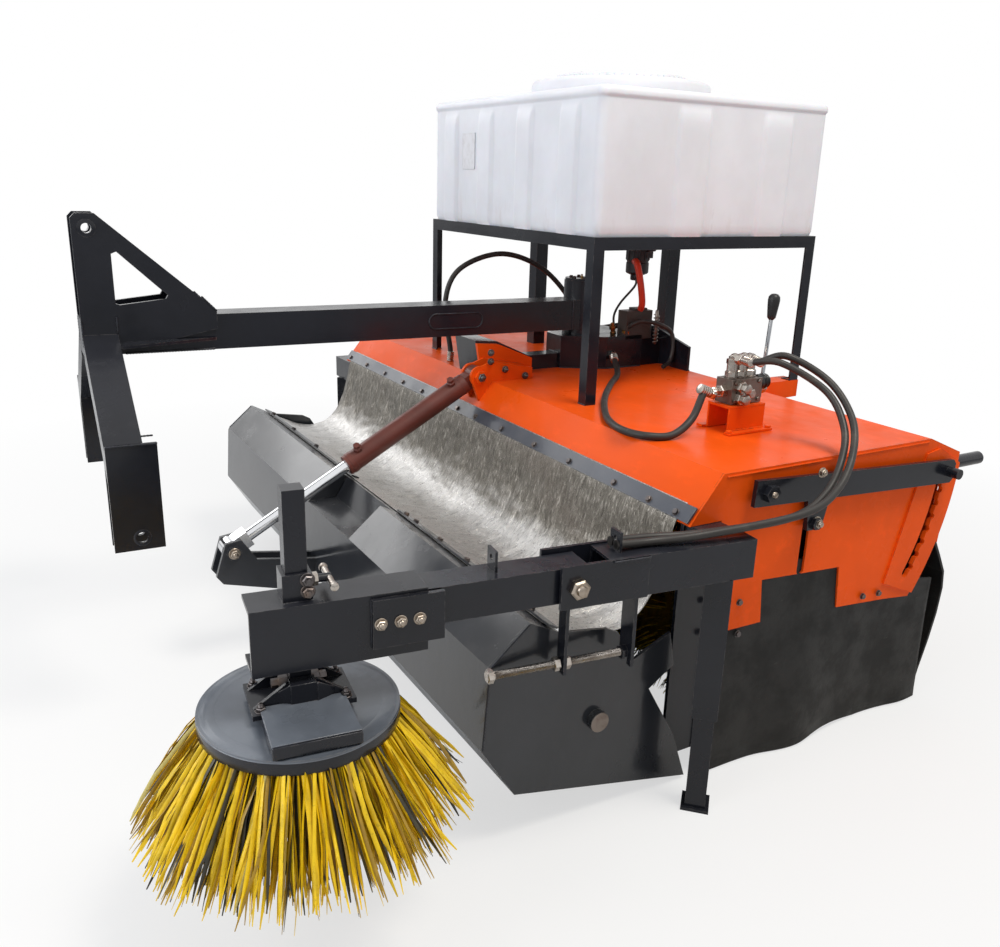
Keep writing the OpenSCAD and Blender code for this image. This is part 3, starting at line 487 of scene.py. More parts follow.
def tank_plastic(name, base):
    """Milky plastic, grimy low down and scuffed."""
    f = Finish(name)
    tone = f.mix(f.grain(3.4, 4, 0.6).ramp(0.35, 0.7), shade(base, 0.97), shade(base, 1.06))
    low = f.height().ramp(1.42, 1.28)
    grime = f.grain(11, 5, 0.7, (1, 1, 0.35)).ramp(0.5, 0.78)
    tone = f.mix(grime * (low * 0.3 + 0.06), tone, (0.46, 0.36, 0.31))
    scuff = f.grain(60, 4, 0.7, (1, 1, 0.15)).ramp(0.66, 0.75)
    tone = f.mix(scuff * 0.2, tone, (0.4, 0.4, 0.42))
    skin = f.bump(f.grain(9, 3, 0.5) + f.grain(150, 2, 0.5) * 0.12, 0.003, 0.3)
    gloss = f.grain(8, 3).ramp(0.3, 0.7, (0.38, 0.52))
    return f.close(tone, gloss, 0.0, skin, **{"Subsurface Weight": 0.12, "Subsurface Scale": 0.01})


def foil(name):
    """A metal skin on cloth: lighter where it faces up and darker on the steep part, painted light; streaks
    along the creases, their ridges a painted highlight and their hollows a painted shade; brown patches,
    heavier on the steep part.
    """
    f = Finish(name)
    crease_relief_and_painted_light = f.grain(76, 4, 0.72, (0.42, 2.0, 0.42), 0.9)
    flecks = f.grain(120, 3, 0.7, (0.7, 1.4, 0.7), 0.5)
    # lighter where the sheet faces up, darker on the steep part: painted light
    up = f.facing_up().ramp(0.3, 0.85)
    tone = f.mix(up, (0.18, 0.165, 0.14), (0.56, 0.55, 0.54))
    # streak ridges lighter, a painted highlight; the creases darker, more on the steep part, a painted shade
    tone = f.mix(crease_relief_and_painted_light.ramp(0.5, 0.72) * 0.6, tone, (0.7, 0.66, 0.6))
    tone = f.mix(crease_relief_and_painted_light.ramp(0.5, 0.34) * (0.6 - up * 0.2), tone, (0.055, 0.048, 0.042))
    # brown patches, heavier on the steep part, that also dull the metal
    brown_patches = f.grain(5, 4, 0.6, (1, 0.6, 1)).ramp(0.5, 0.72)
    tone = f.mix(brown_patches * (0.5 - up * 0.3), tone, (0.16, 0.13, 0.105))
    relief = f.bump(crease_relief_and_painted_light * 1.2 + flecks * 0.5, 0.0032, 0.75)
    return f.close(tone, flecks.ramp(0.3, 0.75, (0.24, 0.46)), 0.88 - brown_patches * 0.3, relief)


def weld_bead(name, base):
    f = Finish(name)
    tone = f.mix(f.grain(80, 3).ramp(0.4, 0.7), shade(base, 0.8), shade(base, 2.2))
    return f.close(tone, 0.38, 0.2, f.bump(f.grain(300, 2), 0.0008, 0.4))


def blank_plate(name):
    f = Finish(name)
    tone = f.mix(f.grain(40, 4).ramp(0.4, 0.75) * 0.4, (0.72, 0.72, 0.76), (0.52, 0.5, 0.5))
    return f.close(tone, 0.35, 0.0, f.bump(f.grain(120, 2), 0.0004, 0.3))


def make_finishes():
    c, _ = settings()
    even = (1, 1, 1)
    # enamels: paint, roughness, dust and its share, worn edge, coat, streak, spread, wear, shine; the disc
    # paint's dust is a painted sky reflection
    for key, make, *values in (
        ("orange", enamel, "hood_enamel", c.hood, 0.3, (0.66, 0.22, 0.08, 0.1),
         (0.12, 0.04, 0.02), 0.03, (1, 0.5, 1), 0.1, 0.8, 0.06),
        ("black", enamel, "frame_enamel", c.frame, 0.22, (0.2, 0.2, 0.21, 0.22),
         (0.13, 0.12, 0.115), 0.12, even, 0.25, 0.7, 0.3),
        ("bucket", enamel, "bucket_enamel", c.bucket, 0.17, (0.26, 0.25, 0.24, 0.2),
         (0.2, 0.19, 0.18), 0.2, (1, 1, 0.6), 0.25, 0.8, 0.4),
        ("primer", enamel, "cylinder_primer", c.primer, 0.42, (0.2, 0.13, 0.1, 0.3),
         (0.05, 0.045, 0.045), 0.1, even, 0.35, 1.0, 0.3),
        ("bar", enamel, "clamp_bar_paint", (0.035, 0.042, 0.06), 0.35, (0.3, 0.29, 0.29, 0.4),
         (0.25, 0.24, 0.23), 0.2, even, 0.2, 1.0, 0.4),
        # disc paint: the frame's blue-black made lighter and bluer, with a heavy bluish layer on what faces
        # up: painted sunlight and sky reflection
        ("disc", enamel, "disc_paint", (0.1, 0.115, 0.14), 0.26, (0.26, 0.28, 0.31, 0.7),
         (0.16, 0.15, 0.15), 0.3, even, 0.4, 1.0, 0.5),
        # metals: colour, roughness, tarnish and its share, size of its spots
        ("zinc", metal, "zinc_plate", (0.46, 0.42, 0.38), 0.28, (0.16, 0.11, 0.08), 0.6, 36),
        ("dull", metal, "painted_bolt", (0.11, 0.1, 0.1), 0.42, (0.3, 0.19, 0.12), 0.4),
        ("bolt", metal, "plated_bolt", (0.36, 0.31, 0.26), 0.36, (0.2, 0.14, 0.09), 0.5),
        ("chrome", metal, "rod_chrome", (0.78, 0.79, 0.81), 0.12, (0.4, 0.38, 0.36), 0.25, 12),
        ("steel", metal, "bare_steel", (0.2, 0.17, 0.15), 0.4, (0.1, 0.055, 0.035), 0.6, 22),
        ("brass", metal, "brass_fitting", (0.4, 0.25, 0.1), 0.3, (0.12, 0.07, 0.035), 0.6),
        # rubbers and plastics: colour, roughness, dust, patches, grain
        ("rubber", rubber, "flap_rubber", (0.007, 0.0068, 0.0066), 0.62, (0.038, 0.034, 0.029)),
        ("grip", rubber, "grip_plastic", (0.014, 0.014, 0.015), 0.38, (0.06, 0.058, 0.055), 30, 200),
        ("hose", rubber, "hose_cover", (0.03, 0.027, 0.025), 0.45, (0.16, 0.13, 0.105), 16, 260),
        ("red_hose", rubber, "red_hose", (0.6, 0.05, 0.02), 0.42, (0.4, 0.12, 0.06), 16, 200),
        ("pump", rubber, "pump_body", (0.02, 0.021, 0.024), 0.4, (0.14, 0.13, 0.12), 20, 150),
        ("box", rubber, "dark_box", (0.05, 0.04, 0.035), 0.45, (0.16, 0.11, 0.08), 20, 150),
        ("yellow", strand, "bristle_yellow", c.bristle, shade(c.bristle, 0.7)),
        ("olive", strand, "bristle_olive", (0.3, 0.18, 0.014), (0.46, 0.28, 0.02)),
        ("dark", strand, "bristle_dark", (0.016, 0.014, 0.007), (0.05, 0.04, 0.014)),
        ("pale", strand, "bristle_pale", (0.72, 0.62, 0.22), (0.6, 0.5, 0.16)),
        ("tank", tank_plastic, "tank_plastic", c.tank),
        ("foil", foil, "reflective_sheet"),
        ("weld", weld_bead, "weld_bead", c.frame),
        ("label", blank_plate, "blank_plate"),
    ):
        LIB[key] = make(*values)


CAD_FINISH = {
    "orange": "hood_shell end_plate_near end_plate_far cylinder_clevis rear_brackets valve_bracket",
    "black": "height_lever_near height_lever_far side_frame_near side_frame_far pivot_bracket tank_stand "
    "arm_bracket leg_bracket_far leg_near leg_far hitch_beam mast hitch_arms link_clevises side_arm "
    "side_post",
    # the disc in the lighter disc paint: painted sunlight on the frame's black
    "disc": "side_disc",
    "bucket": "bucket_shell bucket_side_near bucket_side_far bucket_lug",
    "primer": "cylinder_barrel",
    "chrome": "cylinder_rod",
    "bar": "sheet_bar",
    "rubber": "skirt_near skirt_far rear_flap",
    "hose": "hose_pair hose_valve hose_loop",
    "foil": "flex_sheet",
    "tank": "tank tank_lid",
    "pump": "spray_pump",
    "zinc": "control_valve main_core",
    "dark": "main_bristles",
    "yellow": "side_bristles",
}


class SWEEPER_OT_finish(bpy.types.Operator):
    """Makes every finish and puts one on each part of the frame."""

    bl_idname = "sweeper.finish"
    bl_label = "Paint the frame"

    def execute(self, context):
        make_finishes()
        for key, names in CAD_FINISH.items():
            for name in names.split():
                obj = bpy.data.objects.get(name)
                if obj is None:
                    meshes = (o for o in bpy.data.objects if o.type == "MESH")
                    obj = next(o for o in meshes if o.name.split(".")[0] == name)
                if not obj.material_slots:
                    obj.data.materials.append(LIB[key])
                for s in obj.material_slots:
                    s.material = LIB[key]
        return {"FINISHED"}


class SWEEPER_OT_tank(bpy.types.Operator):
    """Moulds the ribbed water tank with its rolled top rim, lid and blank plate."""

    bl_idname = "sweeper.tank"
    bl_label = "Water tank"

    def execute(self, context):
        _, size = settings()
        lo, hi = box_mm("tank")
        rib, rim = size.rib * 1000, size.rim * 1000
        skin, r, shoulder, foot = 2.0, 25.0, 18, 14
        x0, x1, y0, y1 = lo[0] + skin, hi[0] - skin, lo[1] + skin, hi[1] - skin
        z0, z1 = lo[2], hi[2]
        walls = []
        for (ax, ay), (bx, by), out in (
            ((x1, y0 + r), (x1, y1 - r), (1, 0)),
            ((x1 - r, y1), (x0 + r, y1), (0, 1)),
            ((x0, y1 - r), (x0, y0 + r), (-1, 0)),
            ((x0 + r, y0), (x1 - r, y0), (0, -1)),
        ):
            n = int(math.dist((ax, ay), (bx, by)) / 5)
            for i in range(n + 1):
                walls.append((ax + (bx - ax) * i / n, ay + (by - ay) * i / n, *out))
            cx, cy = bx - out[0] * r, by - out[1] * r
            for k in range(1, 9):
                a = math.atan2(out[1], out[0]) + math.pi / 2 * k / 9
                walls.append((cx + r * math.cos(a), cy + r * math.sin(a), math.cos(a), math.sin(a)))
        front, front_half = (-1544, -1304, -1064, -824), 52
        sides, sides_half = (-410, -735), 64
        flank = 15

        def raised(x, y, nx, ny, z):
            """How far the wall stands out on a rib."""
            s = 0.0
            if abs(nx) > 0.99:
                s = max(ease((front_half - abs(y - c)) / flank) for c in front)
            elif abs(ny) > 0.99:
                s = max(ease((sides_half - abs(x - c)) / flank) for c in sides)
            return rib * s * ease((z1 - 34 - z) / 42)

        rings = []
        heights = [z0, z0 + 5, z0 + foot] + [z0 + foot + (z1 - 60 - z0 - foot) * i / 15 for i in range(1, 16)]
        heights += [z1 - v for v in (52, 46, 40, 34, 31, 28, 24, 20, 16, 11, 6, 2.5, 0.6)]
        for z in heights:
            tuck = 5 * ease((z0 + foot - z) / foot)
            over = rim * ease((z - z1 + 31) / 7)
            d = max(0.0, z - (z1 - shoulder))
            inward = shoulder - math.sqrt(max(0.0, shoulder * shoulder - d * d))
            bow = 2.0 * math.sin(math.pi * min(1, (z - z0) / (z1 - z0) * 1.1))
            ring = []
            for x, y, nx, ny in walls:
                swell = bow * noise.noise(Vector((x, y, z)) * 0.004) + bow * 0.5
                o = min(raised(x, y, nx, ny, z) + over - inward - tuck + swell, rib)
                ring.append((x + nx * o, y + ny * o, z))
            rings.append(ring)
        cx, cy = (x0 + x1) / 2, (y0 + y1) / 2
        top = rings[-1]
        for s, lift in ((0.97, 0.0), (0.94, -3), (0.9, -4), (0.7, -2), (0.5, -0.8), (0.3, -0.6)):
            rings.append([(cx + (x - cx) * s, cy + (y - cy) * s, z1 - 0.6 + lift) for x, y, _ in top])
        tank = Stock()
        tank.loft(rings)
        tank.piece("tank_shell", "frame", "tank", "white_plastic", 60, node="tank")

        lid = Stock()
        low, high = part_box("tank_lid")
        at = shift(cx, cy, low.z * 1000)
        h = (high.z - low.z) * 1000
        neck = [(270, -2), (286, -1), (290, 6), (290, 44), (286, 53), (276, 58), (236, 60), (222, 61)]
        cap = [(217, 62), (216, 64), (216, 70), (212, 75), (200, 77), (60, h - 5), (30, h - 4.5)]
        lid.turned(neck + cap, at, 96)
        for i in range(60):
            lid.block((215, -2.2, 62.5), (218.5, 2.2, 71), at @ turn(6 * i, "Z"))
        lid.turned([(26, h - 7), (24, h - 6), (21, h - 4), (19, h - 1.5), (13, h - 0.2), (4, h)], at, 40)
        for i in range(6):
            lid.block((40, -3, h - 7), (190, 3, h - 3), at @ turn(60 * i + 12, "Z"))
        lid.piece("tank_cap", "frame", "tank", "white_plastic", 40, 0.8, node="tank_lid")

        plate = Stock()
        px = x1 + 1.2
        plate.block((px - 3, -1462, 1452), (px + 1.6, -1374, 1566))
        edges = (-1462, 1452, 88, 3), (-1462, 1563, 88, 3), (-1462, 1452, 3, 114), (-1377, 1452, 3, 114)
        for y, z, w, h in edges:
            plate.block((px, y, z), (px + 2.4, y + w, z + h))
        plate.piece("tank_plate", "frame", "label", "white_plastic", bevel=0.5)

        outlets = Stock()
        for y in (-1000, -1350):
            m = aim((x0 + 120, y, z0 + 0.5), (0, 0, -1))
            outlets.turned([(20, -2), (30, -2), (31, 6), (24, 9), (15, 9), (15, 26), (10, 28)], m, 24)
        outlets.piece("tank_outlets", "frame", "grip", "black_plastic", bevel=0.6)
        return {"FINISHED"}


def bristle_rows(stock, roots, tips, radius, bend, weights, flat):
    """One strand for each pair of root and tip, bowed a little between them and pointed at its tip."""
    steps = 5
    for root, tip in zip(roots, tips):
        root, tip = Vector(root), Vector(tip)
        line = tip - root
        off = Vector((random.gauss(0, 1), random.gauss(0, 1), random.gauss(0, 0.5))).cross(line.normalized())
        stock.skin = random.choices(range(len(weights)), weights)[0]
        pts = []
        for k in range(steps + 1):
            bow = off * bend * math.sin(math.pi * k / steps) * random.uniform(0.6, 1)
            pts.append(root + line * (k / steps) + bow)
        wide = radius * random.uniform(0.75, 1.15)
        point = lambda t: 1.0 if t < 0.8 else 1.0 - (t - 0.8) * 3.6
        stock.pipe(pts, wide, 4, point, flat, random.uniform(0, 3))


class SWEEPER_OT_side_brush(bpy.types.Operator):
    """Sets the yellow and black bristles into the side brush, and dresses its disc."""

    bl_idname = "sweeper.side_brush"
    bl_label = "Side brush"

    def execute(self, context):
        _, size = settings()
        random.seed(7)
        roots, tips = [], []
        rows, root_z, tip_z, reach = 5, 456, 239, 330
        for i in range(size.side_strands):
            a = 2 * math.pi * random.random()
            s = i % rows / (rows - 1)
            r0 = 124 + 54 * s + random.uniform(-6, 3)
            r1 = min(224 + 94 * s + random.uniform(-24, 14), reach)
            z1 = tip_z + min(abs(random.gauss(0, 18)), 60) + (1 - s) * 6
            b = a + random.gauss(0, 0.05)
            roots.append((r0 * math.cos(a), r0 * math.sin(a), root_z + random.uniform(-2, 2)))
            tips.append((r1 * math.cos(b) - 3, r1 * math.sin(b) + 2, z1))
        brush = Stock(POST)
        # a cone in the dark bristle finish fills the inside of the strands so the gaps between them read
        # dark: painted shade
        brush.skin = 2
        brush.turned([(60, 448), (128, 446), (165, 380), (186, 318), (60, 318)], None, 48)
        bristle_rows(brush, roots, tips, 3.9, 8.0, (62, 18, 17, 3), 0.42)
        skins = "yellow olive dark pale"
        brush.piece("side_strands", "side_brush", skins, "yellow_bristle", 60, node="side_bristles")

        disc = Stock(POST)
        low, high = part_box("side_disc")
        z, r = low.z * 1000, (high.x - low.x) * 500
        side = [(150, z - 1.2), (r, z - 1.2), (r + 0.9, z + 2), (r + 0.9, z + 23)]
        face = [(r - 2.5, z + 27.2), (r - 7, z + 28.3), (r - 29, z + 28.6), (r - 33, z + 28.1)]
        disc.turned(side, None, 128, 0.0, False)
        # the disc's upper face in the lighter disc paint, painted sunlight; its rim stays in the frame's
        # black
        disc.skin = 1
        disc.turned(side[-1:] + face, None, 128, 0.0, False)
        disc.piece("disc_rim", "side_brush", "black disc", "black_paint")

        motor = Stock(POST)
        for x, y in ((-78, -46), (-78, 46), (78, -46), (78, 46)):
            motor.bolt((x, y, 499), Z, 10, True, 8)
        for s in (-1, 1):
            port = [(9, 0), (13, 0), (13, 16), (9, 18), (9, 30), (5, 31)]
            motor.turned(port, aim((s * 21, 0, 524), (s, 0, 0)), 6)
        carrier = Stock(POST)
        # the top plate in the lighter disc paint, painted sunlight; the flanges and foot below stay in the
        # frame's black
        carrier.block((-77, 40, 497), (80, 171, 503))
        carrier.skin = 1
        for x in (-77, 74):
            carrier.block((x, 62, 479), (x + 6, 176, 498))
        carrier.block((-76, 170, 479), (79, 176.5, 502))
        carrier.block((-24, 22, 502), (24, 51, 541))
        for name, x, a in (("carrier_wing_left", 22, -24), ("carrier_wing_right", -22, 204)):
            wing = Stock(POST @ shift(x, 48, 0) @ turn(a, "Z"))
            wing.side_plate([(0, 502), (58, 502), (54, 508), (4, 539), (0, 539)], -6, 0)
            wing.piece(name, "post", "black", "black_paint", bevel=0.8)
        carrier.piece("brush_carrier", "post", "disc black", "black_paint", bevel=1.0)
        motor.piece("motor_bolts", "post", "dull", "zinc")
        seams = Stock(POST)
        for s in (-1, 1):
            seams.weld(6, [(-86, s * 39, 500), (86, s * 39, 500)])
            seams.weld(5, [(s * 21, -20, 506), (s * 21, -20, 536)])
        seams.weld(6, [(-20, 21, 500), (20, 21, 500)])
        seams.piece("motor_welds", "post", "weld", "black_paint", 60)
        return {"FINISHED"}


class SWEEPER_OT_main_brush(bpy.types.Operator):
    """Fills the wafers of the main brush with strands."""

    bl_idname = "sweeper.main_brush"
    bl_label = "Main brush"

    def execute(self, context):
        _, size = settings()
        random.seed(3)
        (_, y0, _), (_, y1, _) = box_mm("main_bristles")

        def at(r, a, y):
            return (BRUSH_X + r * math.cos(a), y, BRUSH_Z + r * math.sin(a))

        rows, tube, reach = 26, 92, 279
        ends = (0, 1, rows - 2, rows - 1)
        roots, tips = [], []
        for k in range(rows):
            for i in range(size.main_strands * (3 if k in ends else 1)):
                a = 2 * math.pi * random.random()
                y = y0 + (y1 - y0) * (k + 0.5) / rows
                wave = 16 * math.sin(a * 4 + k)
                tip_y = y + wave + random.gauss(0, 9)
                roots.append(at(tube, a, y + wave * 0.4))
                tips.append(at(reach - abs(random.gauss(0, 5)), a, min(max(tip_y, y0 + 2), y1 - 2)))
        brush = Stock()
        brush.skin = 1
        first, last = y0 + 12, y1 - 12
        angles = [2 * math.pi * j / 48 for j in range(48)]
        rings = []
        for k in range(53):
            y = first + (last - first) * k / 52
            r = 214 if k % 2 else 196
            rings.append([at(r + 8 * math.sin(a * 7 + k), a, y) for a in angles])
        brush.loft(rings)
        bristle_rows(brush, roots, tips, 2.8, 5.0, (12, 36, 52), 0.6)
        brush.piece("main_strands", "main_brush", "dark olive yellow", "bristle", 60, node="main_bristles")
        hub = Stock()
        for y, s in ((y1 + 10, 1), (y0 - 10, -1)):
            for i in range(6):
                hub.bolt(at(62, math.pi / 3 * i, y), (0, s, 0), 9, False)
        hub.piece("hub_bolts", "main_brush", "dull", "zinc")
        return {"FINISHED"}


# the sheet's sag from the hood's bar to the bucket's, in X and Z
SHEET_PATH = (
    (60, 729.7), (90, 692), (116, 590), (142, 520), (182, 470),
    (240, 446), (320, 455), (395, 487), (420, 501), (445, 513.8),
)


def bar_face(low, high, side):
    """The way up a bar's face, and the way out of it."""
    along = (Vector(high) - Vector(low)).normalized()
    return along, Vector((along.z * side, 0, -along.x * side))


class SWEEPER_OT_sheet(bpy.types.Operator):
    """Hangs the crinkled reflective sheet between the hood and the bucket, with its clamp bolts."""

    bl_idname = "sweeper.sheet"
    bl_label = "Reflective sheet"

    def execute(self, context):
        _, size = settings()
        depth = size.crinkle * 1000
        path = smooth_path([(x, 0, z) for x, z in SHEET_PATH], 7)
        total = sum((b - a).length for a, b in zip(path, path[1:]))
        across = 330
        y0, y1 = -2085.0, -45.0
        clamped, fade, clear = 52, 60, 1.9
        rows = []
        run = 0.0
        for i, p in enumerate(path):
            if i:
                run += (p - path[i - 1]).length
            t = (path[min(i + 1, len(path) - 1)] - path[max(i - 1, 0)]).normalized()
            out = Vector((-t.z, 0, t.x))
            free = ease((run - clamped) / fade) * ease((total - fade - run) / fade)
            row = []
            for j in range(across + 1):
                y = y1 + (y0 - y1) * j / across
                w = Vector((run * 0.011, y * 0.0055, 0))
                fold = noise.noise(w) * 0.7 + noise.noise(w * 3.1) * 0.35
                pleat = noise.noise(Vector((run * 0.0022, y * 0.024, 5))) * 0.9
                d = (fold + pleat) * depth * free + abs(noise.noise(w * 7)) * depth * 0.35 * free
                q = p + out * (clear + d)
                row.append((q.x, y, q.z))
            rows.append(row)
        sheet = Stock()
        sheet.loft(rows, closed=False)
        obj = sheet.piece("reflective_sheet", None, "foil", "foil_sheet", 180, thick=1.0, node="flex_sheet")
        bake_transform(obj)

        bolts = Stock()
        low = Vector((90, 0, 692))
        along, out = bar_face(low, (0, 0, 805), 1)
        p = low + along * 16 + out * 8.7
        for y in (-2086, -1914, -1736, -1570, -1410, -1270, -1138, -1016, -852, -666, -490, -290, -152, -54):
            bolts.bolt((p.x, y, p.z), out, 8)
        bolts.piece("hood_bar_bolts", "frame", "dull", "zinc")

        bolts, strip = Stock(), Stock()
        low = Vector((420, 0, 501))
        along, out = bar_face(low, (496, 0, 540), -1)
        for lift, places in (
            (8.7, (-2040, -1790, -1540, -1300, -1215)),
            (8.3, (-780, -716, -567, -417, -260, -110)),
        ):
            p = low + along * 18 + out * lift
            for y in places:
                bolts.bolt((p.x, y, p.z), out, 8)
        outline = [(-13, 3.9), (13, 3.9), (13, 8.3), (-13, 8.3)]
        strip.loft([[low + along * (18 + u) + out * v + Y * y for u, v in outline] for y in (-814, -26)])
        bolts.piece("bucket_bar_bolts", "bucket", "dull", "zinc")
        strip.piece("bucket_bar_near", "bucket", "bar", "bucket_paint", bevel=0.6)
        return {"FINISHED"}


class SWEEPER_OT_skirts(bpy.types.Operator):
    """Hangs the wavy rubber skirts."""

    bl_idname = "sweeper.skirts"
    bl_label = "Rubber skirts"

    def execute(self, context):
        outline_top = [(-22, 520), (-150, 540), (-452, 540), (-640, 420), (-842, 380)]

        def top_at(x):
            for (ax, az), (bx, bz) in zip(outline_top, outline_top[1:]):
                if bx <= x <= ax:
                    return az + (bz - az) * (ax - x) / (ax - bx)
            return outline_top[-1][1]

        length, cols, levels, ripple = 826, 90, 14, 3.6
        for (_, place), end in zip(ENDS, ("near", "far")):
            rows = []
            for i in range(cols + 1):
                x = -22 - length * i / cols
                t = i / cols
                zt = top_at(x)
                low = 4 + 10 * max(0, math.sin((t - 0.35) * 9)) * ease((t - 0.3) * 4) * ease((1 - t) * 5)
                bulge = 27 * math.exp(-(((x + 330) / 105) ** 2)) + 17 * math.exp(-(((x + 790) / 90) ** 2))
                row = []
                for k in range(levels + 1):
                    z = low + (zt - low) * k / levels
                    sag = ease((zt - z) / 330)
                    wave = (2.5 * math.sin(t * 13 + 1.0) + 2.0 * math.sin(t * 5.3)) * sag
                    wave += noise.noise(Vector((x * 0.012, z * 0.012, 3.0))) * 2.0 * sag
                    out = -10 + min(max(wave, -ripple), ripple) + bulge * ease((zt - z) / 500) ** 1.5
                    row.append((x, place(out), z))
                rows.append(row)
            skirt = Stock()
            skirt.loft(rows, closed=False)
            name, node = "skirt_rubber_" + end, "skirt_" + end
            obj = skirt.piece(name, "frame", "rubber", "black_rubber", 180, thick=7.6, node=node)
        return {"FINISHED"}


# centre lines of the hoses: two from the valve to the arm, one to the turret, and the loop
ARM_HOSE_HIGH = (
    (-317, -262, 998), (-317, -235, 998), (-350, -180, 1018), (-415, -95, 965), (-400, 0, 895),
    (-340, 65, 828), (-250, 108, 765), (-120, 128, 732), (130, 92, 714), (238.7, 54.2, 704.5), (330, 43, 708),
)
ARM_HOSE_LOW = (
    (-284, -262, 998), (-284, -235, 998), (-322, -170, 1004), (-390, -78, 945), (-376, 0, 875),
    (-320, 52, 812), (-238, 86, 750), (-115, 102, 716), (110, 68, 706), (235.8, 30.4, 704.5), (328, 19, 708),
)
TURRET_HOSE = (
    (-214, -304, 911), (-195, -304, 911), (-150, -290, 850), (-80, -280, 817), (-15, -300, 817),
    (8, -370, 817), (-20, -470, 817), (-90, -585, 817), (-180, -705, 817), (-300, -840, 817),
    (-420, -965, 819), (-490, -1085, 850),
)
LOOP_HOSE = (
    (-30, -1425, 806), (-30, -1425, 850), (-8, -1425, 1010), (-60, -1425, 1122),
    (-219, -1425, 1173), (-380, -1425, 1130), (-490, -1400, 1030), (-540, -1352, 900),
)


def ferrule(stock, point, axis, radius, length=34.0):
    """A crimped hose end with its hexagon nut."""
    m = aim(point, axis)
    prof = [(radius * 0.7, -2), (radius * 1.32, -1)]
    for i in range(5):
        z = length * (i + 0.2) / 5
        prof += [(radius * 1.36, z), (radius * 1.36, z + length * 0.12), (radius * 1.24, z + length * 0.15)]
    stock.turned(prof + [(radius * 1.3, length), (radius * 0.8, length + 1.5)], m, 24)
    nut = ((1.1, -18), (1.5, -17), (1.55, -16), (1.55, -5), (1.4, -3), (1, -2))
    stock.turned([(radius * k, z) for k, z in nut], m, 6)


class SWEEPER_OT_hoses(bpy.types.Operator):
    """Runs the hydraulic hoses and their crimped ends."""

    bl_idname = "sweeper.hoses"
    bl_label = "Hoses"

    def execute(self, context):
        _, size = settings()
        n = size.hose_sides
        ends = Stock()
        for node, r, plain, routes in (
            ("hose_pair", 9, True, (ARM_HOSE_HIGH, ARM_HOSE_LOW)),
            ("hose_valve", 10, False, (TURRET_HOSE,)),
            ("hose_loop", 9, False, (LOOP_HOSE,)),
        ):
            hose = Stock()
            for route in routes:
                line = smooth_path(route, 10)
                hose.pipe(line, r, n)
                ferrule(ends, line[0], line[3] - line[0], r)
                if plain:
                    hose.pipe(line[-3:], r * 1.12, n)
                else:
                    ferrule(ends, line[-1], line[-4] - line[-1], r)
            hose.piece(node + "_run", "frame", "hose", "black_rubber", 60, node=node)
        ends.piece("hose_ferrules", "frame", "zinc", "zinc")
        return {"FINISHED"}


